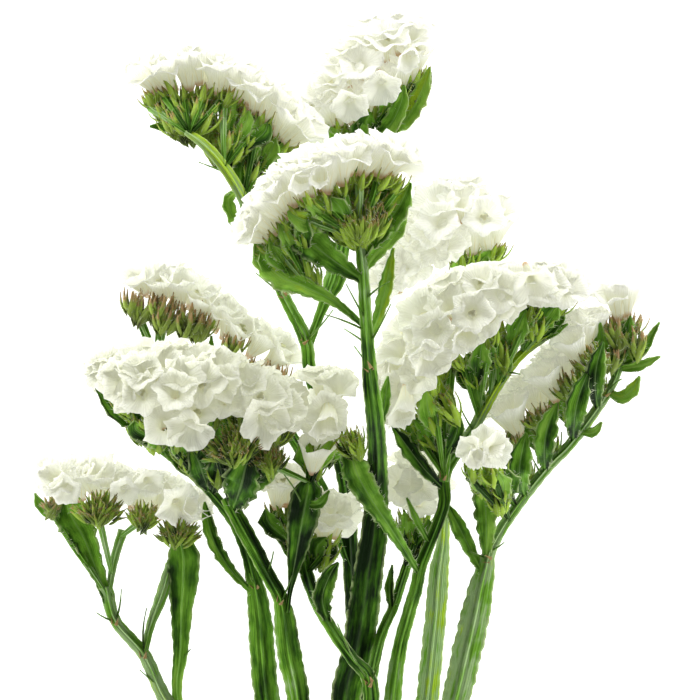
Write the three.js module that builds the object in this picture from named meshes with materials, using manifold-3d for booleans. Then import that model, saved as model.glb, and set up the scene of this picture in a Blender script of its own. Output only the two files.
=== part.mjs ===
// A gathered bunch of statice (Limonium sinuatum), laid on its back: six cut, winged and
// forked stems with their leaves and bracts, and the crests of papery calyces that they
// carry. Millimetres, +Z up. The stems run along +Y, from their cut ends to the heads.
import * as THREE from 'three';
import { mergeVertices } from 'three/addons/utils/BufferGeometryUtils.js';
import Module from 'manifold-3d';

const wasm = await Module();
wasm.setup();

// ---- Driving dimensions -------------------------------------------------------------------
const CLEARANCE = 0.3;          // left between two pieces that touch in the real bunch
const SEAT_GAP = 0.45;          // from the tip of a stalk to the core of the crest that it carries
const FITTED = [1, 0.88, 0.76, 0.64];  // lengths tried for a stalk or bract that meets a neighbour
const CUT_END_Y = -78;          // where the stems' runs end
const SAW_LOSS = 0.4;           // trimmed off there, so that all ends are cut straight
const ORIGIN_X = -2;            // the tables' place of the origin, the middle of the bunch's
const ORIGIN_Y = 37.5;          // footprint; its height is the surface that the bunch lies on
const STEM_STEP = 9;            // spacing of the waves on a stem's wings
const STEM_WAVE = 0.09;         // how far a wing's edge waves, as a share of its width
const LEAF_THICKNESS = 1.0;     // along a leaf's midrib
const LEAF_STEP = 7;            // spacing of the waves on a leaf's edges
const LEAF_WAVE = 1.5;          // how much more a leaf's edge waves than a wing's
const SLIMMEST_LEAF = 0.6;
const NEEDLE_WIDTH = 1;
const STALK_WIDTH = 3.6;
const STALK_THICKNESS = 2.4;
const STALK_WAIST = 0.7;        // where a stalk is widest, as a share of its length
const CALYX_RIM_RADIUS = 5.6;   // a ruffled calyx, drawn larger than life to close the crest
const CALYX_LOBES = 4;
const CALYX_THROAT = 0.75;      // how high the bottom of its cup lies, as a share of its length
const RIM_SPREAD = 0.08;        // how far the rim's lobes reach out, as a share of its radius
const RIM_LIFT = 0.05;          // how far they rise, as a share of the calyx's length
const CALYX_PITCH = 10;         // spacing of the calyces along a crest
const SHORTEST_CALYX = 6;
const END_LEAN = 0.35;          // how far the calyces at the two ends of a crest lean outwards
const BACK_ROW = -1.2;          // where a crest's first and last rows of calyces stand, in
const FRONT_ROW = 1.3;          // radians from its plane
const CORE_RISE = 0.3;          // where a crest's core lies, as a share of its height
const CORE_COVER = 8.5;         // how far the calyces stand out of the core
const SLIMMEST_CORE = 1.2;
const BRACT_LENGTH = 10;
const BRACT_WIDTH = 4.4;
const BRACT_THICKNESS = 1.8;
const BRACTS_PER_STALK = 2;
const BRACT_SPREAD = 0.75;      // how far the bracts spread from their stalk
const BRACT_RISE = 0.6;         // and how far they turn to the way the calyces rise
const SLIVER = 0.03;            // details finer than this are left out of a joined body
const GOLDEN = 0.6180339887;    // spreads the small repeats evenly, without a random draw

// ---- The bunch ---------------------------------------------------------------------------
// A stem, a wedge or a leaf is a run of points [x, y, z, width].
// A crest has its brow, where the bracts end and the calyces begin, its crown, which is the
// outline of the calyces, both as [x, y], its heights z, the half depth of its core, how far
// its calyces fan out of the plane (0 to 1), how many rows of them it has, and the stalks
// that carry it: [root, share of the brow where they start, where they end, how many].
const CRESTS = {
  calyces_1: {
    brow: [[-46, 134], [-41, 136.5], [-34, 136.8], [-27, 135.2], [-22, 132], [-18.2, 129], [-15.3, 124.5],
      [-12, 122.5]],
    crown: [[-49, 140.5], [-43, 143], [-35, 144], [-27, 143.3], [-21, 140], [-16, 137], [-10.5, 134.5],
      [-6.3, 128]],
    z: [29, 30, 29, 27], depth: 4.5, fan: 0.42, rows: 3,
    stalks: [[[-35.5, 125.8, 30], 0.02, 0.4, 4], [[-30, 120, 30], 0.45, 0.62, 2], [[-24.5, 113, 29],
      0.7, 0.8, 2], [[-21.4, 105, 28], 0.92, 0.99, 1]],
  },
  calyces_2: {
    brow: [[-7, 128], [-4, 128], [0, 128.8], [5, 131], [9, 134], [13, 138], [17, 141.5]],
    crown: [[-13, 133], [-8, 138], [-3.5, 143], [0, 148], [5, 152], [11, 153], [17.5, 148]],
    z: [14, 14.4, 14.4, 14], depth: 6, fan: 0.9, rows: 4,
    stalks: [[[0.8, 117, 20], 0.02, 0.5, 3], [[3, 124, 19], 0.6, 0.98, 3]],
  },
  calyces_3: {
    brow: [[-19.8, 100.5], [-16.5, 104.5], [-14, 109], [-10.8, 111.8], [-5, 113.2], [0, 116.5],
      [5.7, 117.5], [11.7, 115.3]],
    crown: [[-25, 103.5], [-21.5, 110], [-17.5, 116.5], [-12.5, 122.5], [-5.5, 125], [1.5, 126],
      [8.5, 125.3], [15, 118.5]],
    z: [58, 61, 63, 63, 61], depth: 5, fan: 0.45, rows: 3,
    stalks: [[[1.9, 103.5, 60], 0.34, 0.98, 6], [[-6, 98, 60], 0.12, 0.26, 2], [[-12, 93, 59],
      0.02, 0.04, 1]],
  },
  calyces_4: {
    brow: [[7, 88], [12, 93], [18, 97], [24, 99], [30, 100], [34, 101]],
    crown: [[7, 97], [11, 105], [15, 113], [21, 118], [28, 118.5], [34.5, 112]],
    z: [12.6, 12, 11.8], depth: 6, fan: 0.9, rows: 4,
    stalks: [[[21.8, 88, 12], 0.15, 0.95, 4]],
  },
  calyces_5: {
    brow: [[12, 62], [16, 68], [21, 76], [28, 78.6], [31.5, 82.5], [37.5, 86], [44, 89.5], [48, 88.6]],
    crown: [[5, 68], [6, 80], [11, 90], [19, 95.5], [27, 98.7], [36, 98.9], [44, 97.2], [50, 93.5]],
    z: [37, 42, 43, 42, 41], depth: 7, fan: 1, rows: 5,
    stalks: [[[20.8, 50.4, 38], 0.02, 0.3, 3], [[28, 61.5, 41], 0.36, 0.52, 2], [[33, 70.5, 41],
      0.6, 0.76, 2], [[38.5, 77.2, 41], 0.84, 0.97, 2]],
  },
  calyces_6a: {
    brow: [[24, 52], [29.5, 51.5], [35, 53.5]], crown: [[22.7, 58.5], [29, 61], [36, 58.5]],
    z: [48], depth: 3.5, fan: 0.9, rows: 3, stalks: [[[30, 43, 33.5], 0.3, 0.7, 2]],
  },
  calyces_6b: {
    brow: [[33, 59.5], [37, 60.4], [41, 63.4], [44.5, 66.8], [48, 70.4], [50.4, 74], [53, 78],
      [55.2, 81.5]],
    crown: [[30, 65], [33.5, 68.5], [37.5, 72.5], [41.5, 76.5], [44.5, 80], [47.5, 84], [51, 87],
      [55, 88]],
    z: [31, 32, 33, 34], depth: 3, fan: 0.9, rows: 3,
    stalks: [[[39, 45.5, 32], 0.12, 0.12, 1], [[43.6, 51.4, 33], 0.3, 0.36, 1], [[49.6, 57.8, 34],
      0.58, 0.6, 1],
      [[55.4, 65, 35], 0.8, 0.86, 1]],
  },
  calyces_6f: {
    brow: [[57, 84.5], [60.5, 85.5], [63.5, 84.5]], crown: [[55.5, 88.5], [60, 91], [64.5, 89.5]],
    z: [34], depth: 2.4, fan: 0.9, rows: 2, stalks: [[[60.6, 74.6, 35], 0.1, 0.9, 3]],
  },
  calyces_7: {
    brow: [[-57, 71], [-51, 67], [-44, 61], [-37, 57], [-30, 60], [-22, 58], [-15.5, 58]],
    crown: [[-59, 77], [-54, 80], [-46, 81.2], [-38, 81.2], [-31, 79.5], [-22, 76], [-13, 72]],
    z: [43, 46, 47, 46, 45], depth: 7, fan: 1, rows: 4,
    stalks: [[[-42, 55, 40], 0.02, 0.32, 3], [[-34, 49, 36], 0.42, 0.5, 1], [[-26, 44, 35],
      0.6, 0.98, 3]],
  },
  calyces_8: {
    brow: [[-48, 92], [-42, 91], [-38, 89.5], [-32.5, 86], [-28, 82], [-22, 78], [-16, 74.5]],
    crown: [[-50.5, 97], [-44, 98.8], [-37, 98.5], [-30.5, 92], [-25, 86.5], [-19, 81.5], [-12.8, 76.5]],
    z: [9.7, 9.3, 9.7], depth: 4.5, fan: 0.45, rows: 3,
    stalks: [[[-38, 79, 12], 0.02, 0.36, 3], [[-29, 75, 12], 0.52, 0.66, 2], [[-20, 68, 12],
      0.82, 0.98, 2]],
  },
  calyces_9: {
    brow: [[-9, 58], [-5, 57], [-1.2, 60]], crown: [[-9.5, 72], [-5, 77], [-1.6, 74]],
    z: [40, 40], depth: 5, fan: 1, rows: 4, stalks: [[[-9.4, 47, 42], 0.2, 0.7, 2]],
  },
  calyces_14: {
    brow: [[-66.8, 46.6], [-65.8, 46.2], [-64.4, 46.6]], crown: [[-67, 53], [-65.8, 54], [-64.4, 53.4]],
    z: [24], depth: 2.6, fan: 0.9, rows: 2, stalks: [[[-65.4, 40.4, 24], 0.3, 0.7, 2]],
  },
  calyces_10: {
    brow: [[-62, 43.4], [-60, 45.6], [-55, 47], [-50, 44.5], [-45, 44.5], [-39, 41], [-33, 40]],
    crown: [[-65, 51], [-61, 53], [-56, 54], [-50, 52.5], [-44, 52], [-36, 50.5], [-30.5, 46]],
    z: [24, 24, 24], depth: 4.5, fan: 0.5, rows: 3,
    stalks: [[[-60, 38.5, 24], 0.04, 0.18, 2], [[-50.6, 37, 23], 0.36, 0.58, 2], [[-38.5, 35.5, 24],
      0.74, 0.96, 3]],
  },
  calyces_11: {
    brow: [[-19, 44], [-15.5, 43], [-12, 44]], crown: [[-20, 50], [-15.5, 53], [-11.6, 50]],
    z: [29], depth: 3, fan: 0.9, rows: 2, stalks: [[[-10, 30, 31], 0.4, 0.6, 1]],
  },
  calyces_12: {
    brow: [[-8.6, 38], [-5, 35.5], [-1.5, 38]], crown: [[-8.8, 46], [-4.5, 49], [-1, 45]],
    z: [27], depth: 3, fan: 0.9, rows: 2, stalks: [[[-9.4, 28, 31], 0.3, 0.6, 1]],
  },
  calyces_13: {
    brow: [[10, 42], [14, 40.5], [19, 43]], crown: [[8, 52], [13, 58.5], [20, 54]],
    z: [25], depth: 4, fan: 0.9, rows: 3, stalks: [[[12.5, 29.5, 27], 0.3, 0.7, 2]],
  },
};

// Each stem: the crests that it carries, its runs of winged stem, its leaves and wedges
// (flat blades), and its needles (fine leaves at the nodes, root and tip).
const STEMS = {
  stem_1: {
    crests: ['calyces_10', 'calyces_14'],
    runs: [
      [[-1.4, CUT_END_Y, 1, 5], [-2.2, -60, 1, 5], [-12, -38, 5, 4.6], [-26, -18, 9, 4.2],
        [-35, -8, 12, 3.8],
        [-41.4, 0, 15, 3.2], [-46, 9.8, 18, 2.9], [-52.3, 17.3, 20, 2.6], [-54.5, 25, 22, 3.2]],
      [[-35, -9, 12, 2.4], [-38, -3, 13.5, 2.2], [-38.7, 3, 15, 2.4], [-37.9, 10, 17, 3.3],
        [-37.6, 20, 19, 5],
        [-37.2, 27, 21, 6.8], [-37.2, 32, 22.5, 7], [-38.3, 37, 23.5, 3]],
      [[-46, 10, 18, 1.6], [-44.4, 16.7, 19, 2], [-41.8, 23.6, 20, 2.8], [-40, 30, 20, 2.4]],
      [[-53.9, 23, 21.5, 1.2], [-52.6, 31, 22, 1.9], [-50.6, 37.6, 23, 2.2]],
      [[-54, 23, 21.5, 1.2], [-58, 29, 22.6, 1.6], [-62, 35, 23.4, 1.9], [-65.4, 40.4, 24, 1.8]],
    ],
    leaves: [
      [[-53.5, 21, 21, 1.6], [-55.6, 28, 22.5, 4.6], [-58, 34, 23.3, 6.6], [-60.6, 39.6, 24, 5],
        [-62.4, 42, 24, 0.5]],
      [[-66, 39.6, 23.5, 0.5], [-68.6, 42.6, 24, 2.4], [-70.3, 45.9, 24, 0.4]],
      [[-33.5, 29, 22, 0.5], [-36.4, 35, 23, 2], [-34.5, 38.5, 24, 0.4]],
    ],
    needles: [[[-46, 10, 18.6], [-45.4, 20.2, 20]], [[-52.3, 17, 20.5], [-51, 24.5, 22]],
      [[-52.4, 17.3, 20], [-56.6, 19.2, 21]],
      [[-38.2, 6.5, 16], [-35.6, 11, 17]], [[-43.4, 3, 16], [-47, 6.4, 17]]],
  },
  stem_2: {
    crests: ['calyces_7', 'calyces_9'],
    runs: [
      [[-1.4, CUT_END_Y, 4.4, 5], [-2.6, -60, 5.6, 5], [-8.6, -42, 12, 5.2], [-15, -20, 17, 5.3],
        [-18.5, 0, 22, 5.6],
        [-19.5, 10, 24, 5.6], [-20, 17, 25, 5.3], [-20.8, 23.5, 26, 4.4], [-22.3, 30, 28, 2.8],
          [-24.2, 36, 29.5, 2.6],
        [-26.5, 40.4, 31, 2.5], [-30.3, 45.4, 33.5, 2.4], [-34, 49.4, 36, 2.3], [-39, 53.6, 39, 2.2],
          [-42.4, 56, 40, 2]],
      [[-10, -36, 13.5, 3], [-10.6, -26, 16.5, 4.6], [-10.8, -13, 20, 5], [-11.5, 0, 24, 5],
        [-13.5, 10, 27, 5.3],
        [-14.5, 17.5, 29.5, 4.8], [-15.5, 22.6, 31, 3.4], [-18.2, 27.6, 32.5, 3.3], [-21.5, 34, 34, 3.6],
        [-24.6, 39.7, 35, 3.6], [-27.4, 45, 36, 3]],
      [[-14, 19.5, 30.5, 1.2], [-13.2, 25, 32, 1.3], [-11.8, 33, 35, 4.4], [-10.4, 41, 38.5, 7],
        [-9.4, 46.5, 41, 6.4],
        [-9.2, 49, 42.5, 2.4]],
    ],
    leaves: [
      [[-21.2, 23, 26, 0.9], [-26, 28.2, 27.5, 2], [-29.9, 34.3, 28.6, 2.9], [-31.7, 40, 29.5, 2.6],
        [-32.4, 44, 30, 0.4]],
      [[-34.2, 49.4, 36.4, 1], [-37.4, 52.2, 38.5, 3], [-41.6, 57.8, 41, 2.6], [-43, 60.5, 42, 0.4]],
      [[-42, 55.8, 40, 0.9], [-47, 60.4, 41, 2.6], [-52.6, 64.4, 42, 3], [-56.4, 69.4, 42.5, 0.5]],
      [[-26, 42.4, 36, 1], [-24.6, 46, 38, 4.4], [-22.8, 50, 39.6, 5.6], [-20.4, 53.4, 41, 0.5]],
      [[-31, 47, 34.5, 1], [-33.6, 52, 38, 3.6], [-35.2, 55.4, 40, 0.4]],
      [[-9.6, 43, 40.5, 1], [-6, 43.6, 41.5, 3.6], [-3.6, 46.6, 42, 0.4]],
      [[-23.4, 45, 38.5, 1], [-19.2, 49.6, 40, 3.4], [-14.6, 54.4, 41, 0.4]],
    ],
    needles: [[[-11, 42, 40.6], [-15.8, 51.6, 43]], [[-15.3, 22, 31.6], [-12.8, 27.6, 34]],
      [[-34, 49, 36], [-31.6, 53.4, 38]]],
  },
  stem_3: {
    crests: ['calyces_3', 'calyces_11', 'calyces_12', 'calyces_13'],
    runs: [
      [[4, CUT_END_Y, 4.4, 5], [3.8, -60, 5.6, 5.2], [2, -35, 13, 6], [0, -15, 20, 6.4],
        [-0.8, 0, 25, 6.8], [1.5, 10, 28, 7],
        [3, 20, 31, 7], [4, 28, 34, 6.6], [5.2, 36, 36.5, 6], [6, 45, 39.6, 5], [6.1, 53, 47, 4.4],
          [5.5, 63, 58, 4],
        [4.6, 70, 61, 3.6], [4, 78, 61.5, 3], [3.4, 86, 61.5, 2.8], [2.9, 95, 61.5, 2.6],
          [2, 104, 61, 2.4]],
      [[1.4, -30, 16, 4], [4.4, -12, 26, 3.8], [4.4, 3.7, 31.6, 3.6], [0.6, 9, 34, 2.8],
        [-3.2, 14.4, 35, 2.7],
        [-7, 20.9, 34.4, 2.8], [-9.6, 28, 32, 3], [-10.4, 33, 31, 2]],
      [[4.4, 3, 31.4, 2.6], [6.7, 13.6, 30, 2.4], [9.8, 20.9, 29, 2.2], [11.9, 27.4, 27.6, 2.2],
        [13.4, 32, 26.4, 2], [14.6, 35, 25.6, 1.4]],
      [[-15, 93, 59, 1.6], [-8, 91.2, 59.6, 2], [-2.6, 88, 59.6, 1.7], [3.2, 83, 58.4, 1.2]],
    ],
    leaves: [
      [[2.6, 84.4, 59.4, 1.2], [-3.4, 88.4, 61, 2.2], [-9.7, 91.6, 61.4, 4.2], [-15.4, 94, 61, 6],
        [-19.4, 98, 60, 4.6], [-20.8, 102.4, 59.5, 0.5]],
      [[2.2, 93, 60.6, 1.2], [-4.5, 97, 62, 2.6], [-9.7, 99.6, 62, 3], [-13, 103.4, 61, 0.5]],
      [[2.6, 100, 60.4, 1.4], [6.2, 104.6, 61, 3.2], [10.6, 109.4, 61, 3.6], [13.8, 114.4, 61, 0.5]],
      [[2.8, 95.4, 60.6, 1.2], [6, 99.6, 61.4, 3.2], [10.6, 104.4, 61.4, 3], [12.4, 108, 61, 0.4]],
      [[4, 78.6, 57.6, 1.1], [6.4, 85.6, 58, 2.4], [8.2, 93, 58.5, 3], [9.6, 100.4, 59, 0.5]],
      [[4.6, 62, 49.6, 1.4], [7.6, 67, 51, 2.8], [8.4, 72, 52.6, 0.4]],
      [[-4.6, 16.6, 35.4, 1.2], [-6.2, 22.6, 37, 4.2], [-4.4, 28, 38, 3.4], [-2.6, 30.6, 38, 0.5]],
      [[9.2, 19.8, 29.2, 0.9], [8.8, 25, 30, 2], [9.4, 30, 30, 0.4]],
      [[-8.8, 27, 32.6, 1.1], [-12, 31.4, 31, 3], [-15.4, 36.4, 29.5, 2.4], [-17, 39.5, 29, 0.4]],
    ],
    needles: [[[3.6, 84, 59.8], [-0.8, 92.3, 62]], [[3.6, 81.6, 59.4], [-5.5, 85.6, 61]], [[4, 78.6, 58],
      [-1.3, 82.5, 60]],
      [[4.2, 79, 58], [9, 87.9, 60]], [[3.2, 88.4, 60], [8.7, 93, 61.5]], [[4.4, 74, 56.8],
        [1, 78.6, 58.4]],
      [[0.8, 8.6, 34.4], [-2.8, 17, 37.4]], [[4.8, 4, 32], [7.4, 13, 34]], [[4.4, 4.4, 32.4],
        [-0.4, 11.4, 37]]],
  },
  stem_4: {
    crests: ['calyces_5'],
    runs: [
      [[9.4, CUT_END_Y, 4.4, 5], [9.8, -60, 5.8, 4.8], [9.6, -35, 14, 4.5], [9.2, -12, 21, 4.2],
        [9.6, 0.8, 24, 3.8],
        [11.1, 11.4, 26.4, 3.2], [13.2, 19.5, 30, 3], [14.7, 24.7, 33, 2.9], [15.7, 29.6, 34.6, 2.8],
          [17.5, 34.2, 35, 2.6],
        [19.6, 39.5, 36, 2.6], [21, 44, 36.6, 2.7], [21, 50, 36.6, 2.9], [24, 55.4, 34.6, 2.6],
          [27.6, 60.6, 38, 2.5],
        [30.1, 65.3, 41.4, 2.5], [32.5, 69.5, 42, 2.4], [35.4, 73.7, 42, 2.2], [38.5, 77.2, 41.6, 2],
          [42.4, 80, 41, 1.8], [44.6, 81.2, 40.8, 1.4]],
      [[20.8, 48.6, 38, 2], [21.2, 55, 40, 2.6], [20.9, 60, 41.4, 3.4], [20.2, 64, 42, 2]],
    ],
    leaves: [
      [[15.6, 28, 35, 1.2], [12.4, 32.6, 38.6, 2.2], [8.6, 38.2, 43, 4.6], [4.6, 43.6, 46, 7],
        [2, 48.6, 48, 7], [0.6, 53.4, 48.6, 3.4], [-0.2, 56.6, 48.6, 0.5]],
      [[20.4, 47, 38.4, 1.2], [16.6, 51.4, 39.6, 3], [12.6, 56.6, 40.4, 3.6], [9.4, 61, 41, 0.5]],
      [[17.6, 34.6, 36, 1], [14.8, 40, 38, 1.6], [12.6, 45, 39.6, 0.4]],
      [[42.4, 79.8, 41.4, 1], [45.4, 81.8, 41.6, 1.8], [48.4, 83.6, 41.6, 0.4]],
      [[29.4, 64, 41.8, 1.1], [28.4, 68.6, 43.6, 3.4], [28.8, 73, 44.6, 0.4]],
      [[32.4, 69, 42.4, 1.1], [34.6, 75, 44, 3], [35, 79.6, 44.6, 0.4]],
      [[38.4, 77, 42, 1.1], [40.2, 82, 43.4, 2.8], [41.2, 86, 44, 0.4]],
      [[21.2, 54, 40.4, 1.2], [23.4, 59, 42.4, 3.8], [24.2, 64, 43.4, 0.4]],
      [[42, 79.6, 41, 1], [46, 84, 42, 2.6], [47.6, 87, 42, 0.4]],
    ],
    needles: [[[21, 50, 38.8], [22.6, 56.2, 42]], [[35, 73, 42.6], [37.8, 72.4, 44]], [[26.6, 59, 40.4],
      [24.8, 64.4, 43]]],
  },
  stem_5: {
    crests: ['calyces_4', 'calyces_6a', 'calyces_6b', 'calyces_6f'],
    runs: [
      [[9.4, CUT_END_Y, 1, 5], [10.2, -60, 1, 5.2], [15, -32, 7, 6], [20.6, -11, 13, 6.2],
        [23.9, 0.8, 17, 6.3],
        [26, 10, 20, 6.6], [27.6, 17, 22.4, 6.5], [28.9, 23.4, 24.6, 5.8], [30.2, 29, 26.8, 4.2],
          [31.2, 33, 28, 2.8],
        [34.3, 38.8, 30, 2.5], [40, 46.8, 32, 2.5], [44.8, 52.6, 33, 2.5], [48.7, 56.5, 34, 2.4],
          [53.6, 62.8, 35, 2.3],
        [58.2, 69.8, 35, 2], [60.6, 76, 35, 1.7]],
      [[14.4, -37, 6.6, 3], [15.4, -18, 9.6, 5], [17.4, 0.8, 12, 5], [18.3, 10, 13, 4.8],
        [19.2, 19, 13.4, 4.7], [19.9, 28, 13.4, 4.4],
        [21, 37, 13, 2.6], [21.4, 52, 13, 2.2], [21.5, 70, 12.4, 2.2], [21.8, 89, 12, 2.2]],
    ],
    leaves: [
      [[30.2, 31, 28, 1.3], [30.4, 37, 30.6, 3.8], [30.2, 43, 32.4, 5.2], [29.8, 47.4, 33.4, 5],
        [29, 50.4, 34, 0.6]],
      [[29.6, 27.4, 26.8, 1.1], [26.6, 33.6, 28.4, 2.8], [23.8, 39, 29.4, 3.4], [21.2, 44, 30, 0.5]],
      [[38.6, 45.4, 32, 1.2], [37.6, 50.6, 34, 3.4], [38, 55.6, 35, 3.8], [39.2, 59.6, 35, 0.5]],
      [[43.4, 51, 33, 1.2], [43.4, 57, 35, 3.4], [44.6, 62, 36, 3.8], [46.4, 66.4, 36, 0.5]],
      [[49.4, 58, 34.4, 1.2], [50.2, 64, 36, 3.6], [51.6, 69, 37, 4], [53.4, 73.6, 37, 0.5]],
      [[55, 65, 35, 1.2], [54.8, 71, 37, 3.4], [55.4, 75.6, 38, 3.6], [56.4, 80, 38, 0.5]],
      [[58, 69, 35, 1.2], [61.2, 66.8, 36, 3.6], [64.6, 68.6, 37, 3.4], [64.4, 72.4, 37, 0.5]],
      [[59.6, 73, 35.4, 1.1], [56.6, 78, 37, 2.6], [55.4, 84.6, 38, 0.4]],
      [[60.2, 74.6, 35.4, 1.1], [64.6, 77.6, 37, 2.8], [68.8, 84, 38, 0.4]],
      [[60, 73.6, 35, 1], [64.4, 74.4, 36.6, 2.4], [69, 76.4, 37.6, 0.4]],
      [[60.4, 75.4, 35.4, 1.2], [61.4, 80.6, 37.6, 3.6], [62.4, 85.4, 38, 0.4]],
      [[37, 42.6, 31.4, 1], [34.6, 47, 34, 2.6], [34.4, 51.4, 35, 0.4]],
      [[51, 60, 34.6, 1], [54.2, 59.6, 36, 2.2], [56, 61.8, 36.6, 0.4]],
    ],
    needles: [[[30.4, 31.4, 27.6], [25, 33.4, 28.6]], [[42.6, 50, 33.4], [40.2, 54.4, 37]],
      [[57.4, 68.6, 35.6], [60.4, 71.4, 37.6]],
      [[46, 54, 34], [47, 59.6, 37]], [[31, 32.6, 28.6], [34.4, 35, 30.4]]],
  },
  stem_6: {
    crests: ['calyces_1', 'calyces_2', 'calyces_8'],
    runs: [
      [[4, CUT_END_Y, 1, 5], [4, -60, 1, 5], [3.6, -20, 4.4, 4.4], [2, 5, 7, 4.2],
        [0.5, 26, 9.6, 3.8], [-1.5, 50, 13, 3.2],
        [-8.5, 71, 19, 2.9], [-9.9, 80, 21.4, 3], [-15, 90.4, 24, 2.6], [-21.2, 104, 27, 2.6],
          [-24, 112, 28.4, 2.5],
        [-29, 119.4, 29.6, 2.3], [-33.2, 124, 30, 2], [-36.4, 126.4, 30, 1.6]],
      [[-9.4, 78.6, 20.8, 2], [-6.2, 87, 22.6, 2.3], [-3.6, 93, 23, 4.6], [-2.4, 98, 23, 4],
        [-0.8, 106, 22.4, 2.6], [0.6, 117, 20.4, 2.4], [3.4, 125, 18.6, 2]],
      [[0.3, 29, 10, 2.4], [-6, 46, 12, 2.8], [-14, 60, 12, 2.6], [-21, 69, 12, 2.5], [-30, 76, 12, 2.3],
        [-38, 79.4, 12, 2]],
    ],
    leaves: [
      [[-26.2, 115.6, 29.4, 1], [-27.2, 111, 30, 2.6], [-25.4, 106, 30, 2.4], [-23, 103.6, 29.6, 0.4]],
      [[-36.2, 126, 30.2, 1.1], [-40.6, 127.4, 31, 2.6], [-44.6, 127.6, 31, 0.4]],
      [[-29, 119, 30, 1.2], [-26.4, 123, 31.4, 4], [-23.8, 127.6, 32, 3], [-22.6, 130, 32, 0.4]],
      [[-24.4, 112, 29, 1.2], [-20.6, 115, 30.4, 3.8], [-17.6, 119.4, 31, 3], [-16.6, 122, 31, 0.4]],
      [[1.6, 120, 20.4, 1.4], [-2.6, 123, 21.4, 3.6], [-6.6, 126.4, 21.6, 2.4], [-8.6, 128, 21.6, 0.4]],
      [[3, 123.6, 19.4, 1.3], [8.6, 127.6, 20.6, 3.8], [11.4, 133, 21, 3.4], [12, 137, 21, 0.4]],
      [[4.2, 123.6, 18.8, 1.3], [11.6, 128.4, 19, 3.6], [15.6, 134.6, 19.4, 4.2], [17.9, 141, 19.6, 0.4]],
      [[-1.6, 101, 23.4, 1.2], [-5.4, 107, 24.6, 2.6], [-7.6, 112.6, 25, 0.4]],
      [[-36.6, 78.8, 12.4, 1], [-42, 82, 13.6, 3.4], [-47.6, 85, 13.6, 2.8], [-49.6, 88.6, 13.6, 0.4]],
      [[-30, 75.6, 12.4, 1], [-34.6, 80.4, 14, 3.4], [-36.6, 85, 14, 0.4]],
    ],
    needles: [[[-29, 119, 30], [-33.6, 119.6, 31]], [[-9.4, 80, 22], [-3.8, 86.7, 25]], [[-9.6, 79, 21.6],
      [-12.6, 86, 25]],
      [[-15, 90, 24.6], [-21, 95, 26]]],
  },
};

// ---- Points and curves -------------------------------------------------------------------
const UP = new THREE.Vector3(0, 0, 1);
const spread = (count, from, to) => Array.from({ length: count }, (_, i) => (
  count === 1 ? (from + to) / 2 : from + ((to - from) * i) / (count - 1)));
const jitter = (seed) => ((seed * GOLDEN) % 1) * 2 - 1;

function smoothCurve(points) {
  const places = points.map(([x, y, z = 0]) => new THREE.Vector3(x, y, z));
  return new THREE.CatmullRomCurve3(places, false, 'catmullrom');
}

function middleOf(points) {
  const sum = points.reduce((total, point) => total.add(point), new THREE.Vector3());
  return sum.divideScalar(points.length);
}

// Rows of numbers, read at a share of the way from the first row to the last.
function rowAt(rows, share) {
  const place = share * (rows.length - 1);
  const low = Math.min(Math.floor(place), Math.max(rows.length - 2, 0));
  const next = rows[Math.min(low + 1, rows.length - 1)];
  return rows[low].map((value, i) => value + (next[i] - value) * (place - low));
}

// The place on a stem's runs that lies nearest to a point: leaves and stalks are rooted there.
function rootOn(stem, [x, y, z]) {
  const point = new THREE.Vector3(x, y, z);
  const places = stem.runs.flatMap((run) => smoothCurve(run).getPoints(10 * (run.length - 1)).slice(2, -2));
  return places.reduce((best, place) => (place.distanceTo(point) < best.distanceTo(point) ? place : best));
}

// ---- Solids ------------------------------------------------------------------------------
function solidOf(geometry) {
  const bare = new THREE.BufferGeometry();
  bare.setAttribute('position', geometry.getAttribute('position'));
  bare.setIndex(geometry.getIndex());
  const merged = mergeVertices(bare, 1e-4);
  const index = merged.getIndex().array;
  const faces = [];
  for (let i = 0; i < index.length; i += 3) {
    const [a, b, c] = [index[i], index[i + 1], index[i + 2]];
    if (a !== b && b !== c && c !== a) faces.push(a, b, c);
  }
  const vertProperties = new Float32Array(merged.getAttribute('position').array);
  return new wasm.Manifold(new wasm.Mesh({ numProp: 3, vertProperties, triVerts: new Uint32Array(faces) }));
}

// A closed skin over rings of points. A ring is a row of an even number of points, or a
// single point that closes an end. Neighbouring strips turn their diagonals the other way,
// so both faces of a thin blade are split alike.
function loft(rings) {
  const positions = [];
  const starts = rings.map((ring) => {
    const start = positions.length / 3;
    ring.forEach((point) => positions.push(point.x, point.y, point.z));
    return start;
  });
  const faces = [];
  for (let i = 0; i + 1 < rings.length; i += 1) {
    const [low, high] = [rings[i].length, rings[i + 1].length];
    const sides = Math.max(low, high);
    for (let k = 0; k < sides; k += 1) {
      const next = (k + 1) % sides;
      const a = starts[i] + (low > 1 ? k : 0);
      const b = starts[i] + (low > 1 ? next : 0);
      const c = starts[i + 1] + (high > 1 ? k : 0);
      const d = starts[i + 1] + (high > 1 ? next : 0);
      const quad = k % 2 === 0 ? [a, b, d, a, d, c] : [a, b, c, b, d, c];
      faces.push(...quad);
    }
  }
  const geometry = new THREE.BufferGeometry();
  geometry.setAttribute('position', new THREE.Float32BufferAttribute(positions, 3));
  geometry.setIndex(faces);
  return solidOf(geometry);
}

// The two ways across a run: level, and as near to upright as the run lets it be.
function across(along) {
  const side = new THREE.Vector3().crossVectors(UP, along);
  if (side.length() < 0.1) side.set(1, 0, 0);
  side.normalize();
  return { side, up: new THREE.Vector3().crossVectors(along, side).normalize() };
}

function ringOfPoints(centre, along, corners) {
  const { side, up } = across(along);
  return corners.map(([x, z]) => centre.clone().addScaledVector(side, x).addScaledVector(up, z));
}

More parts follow.
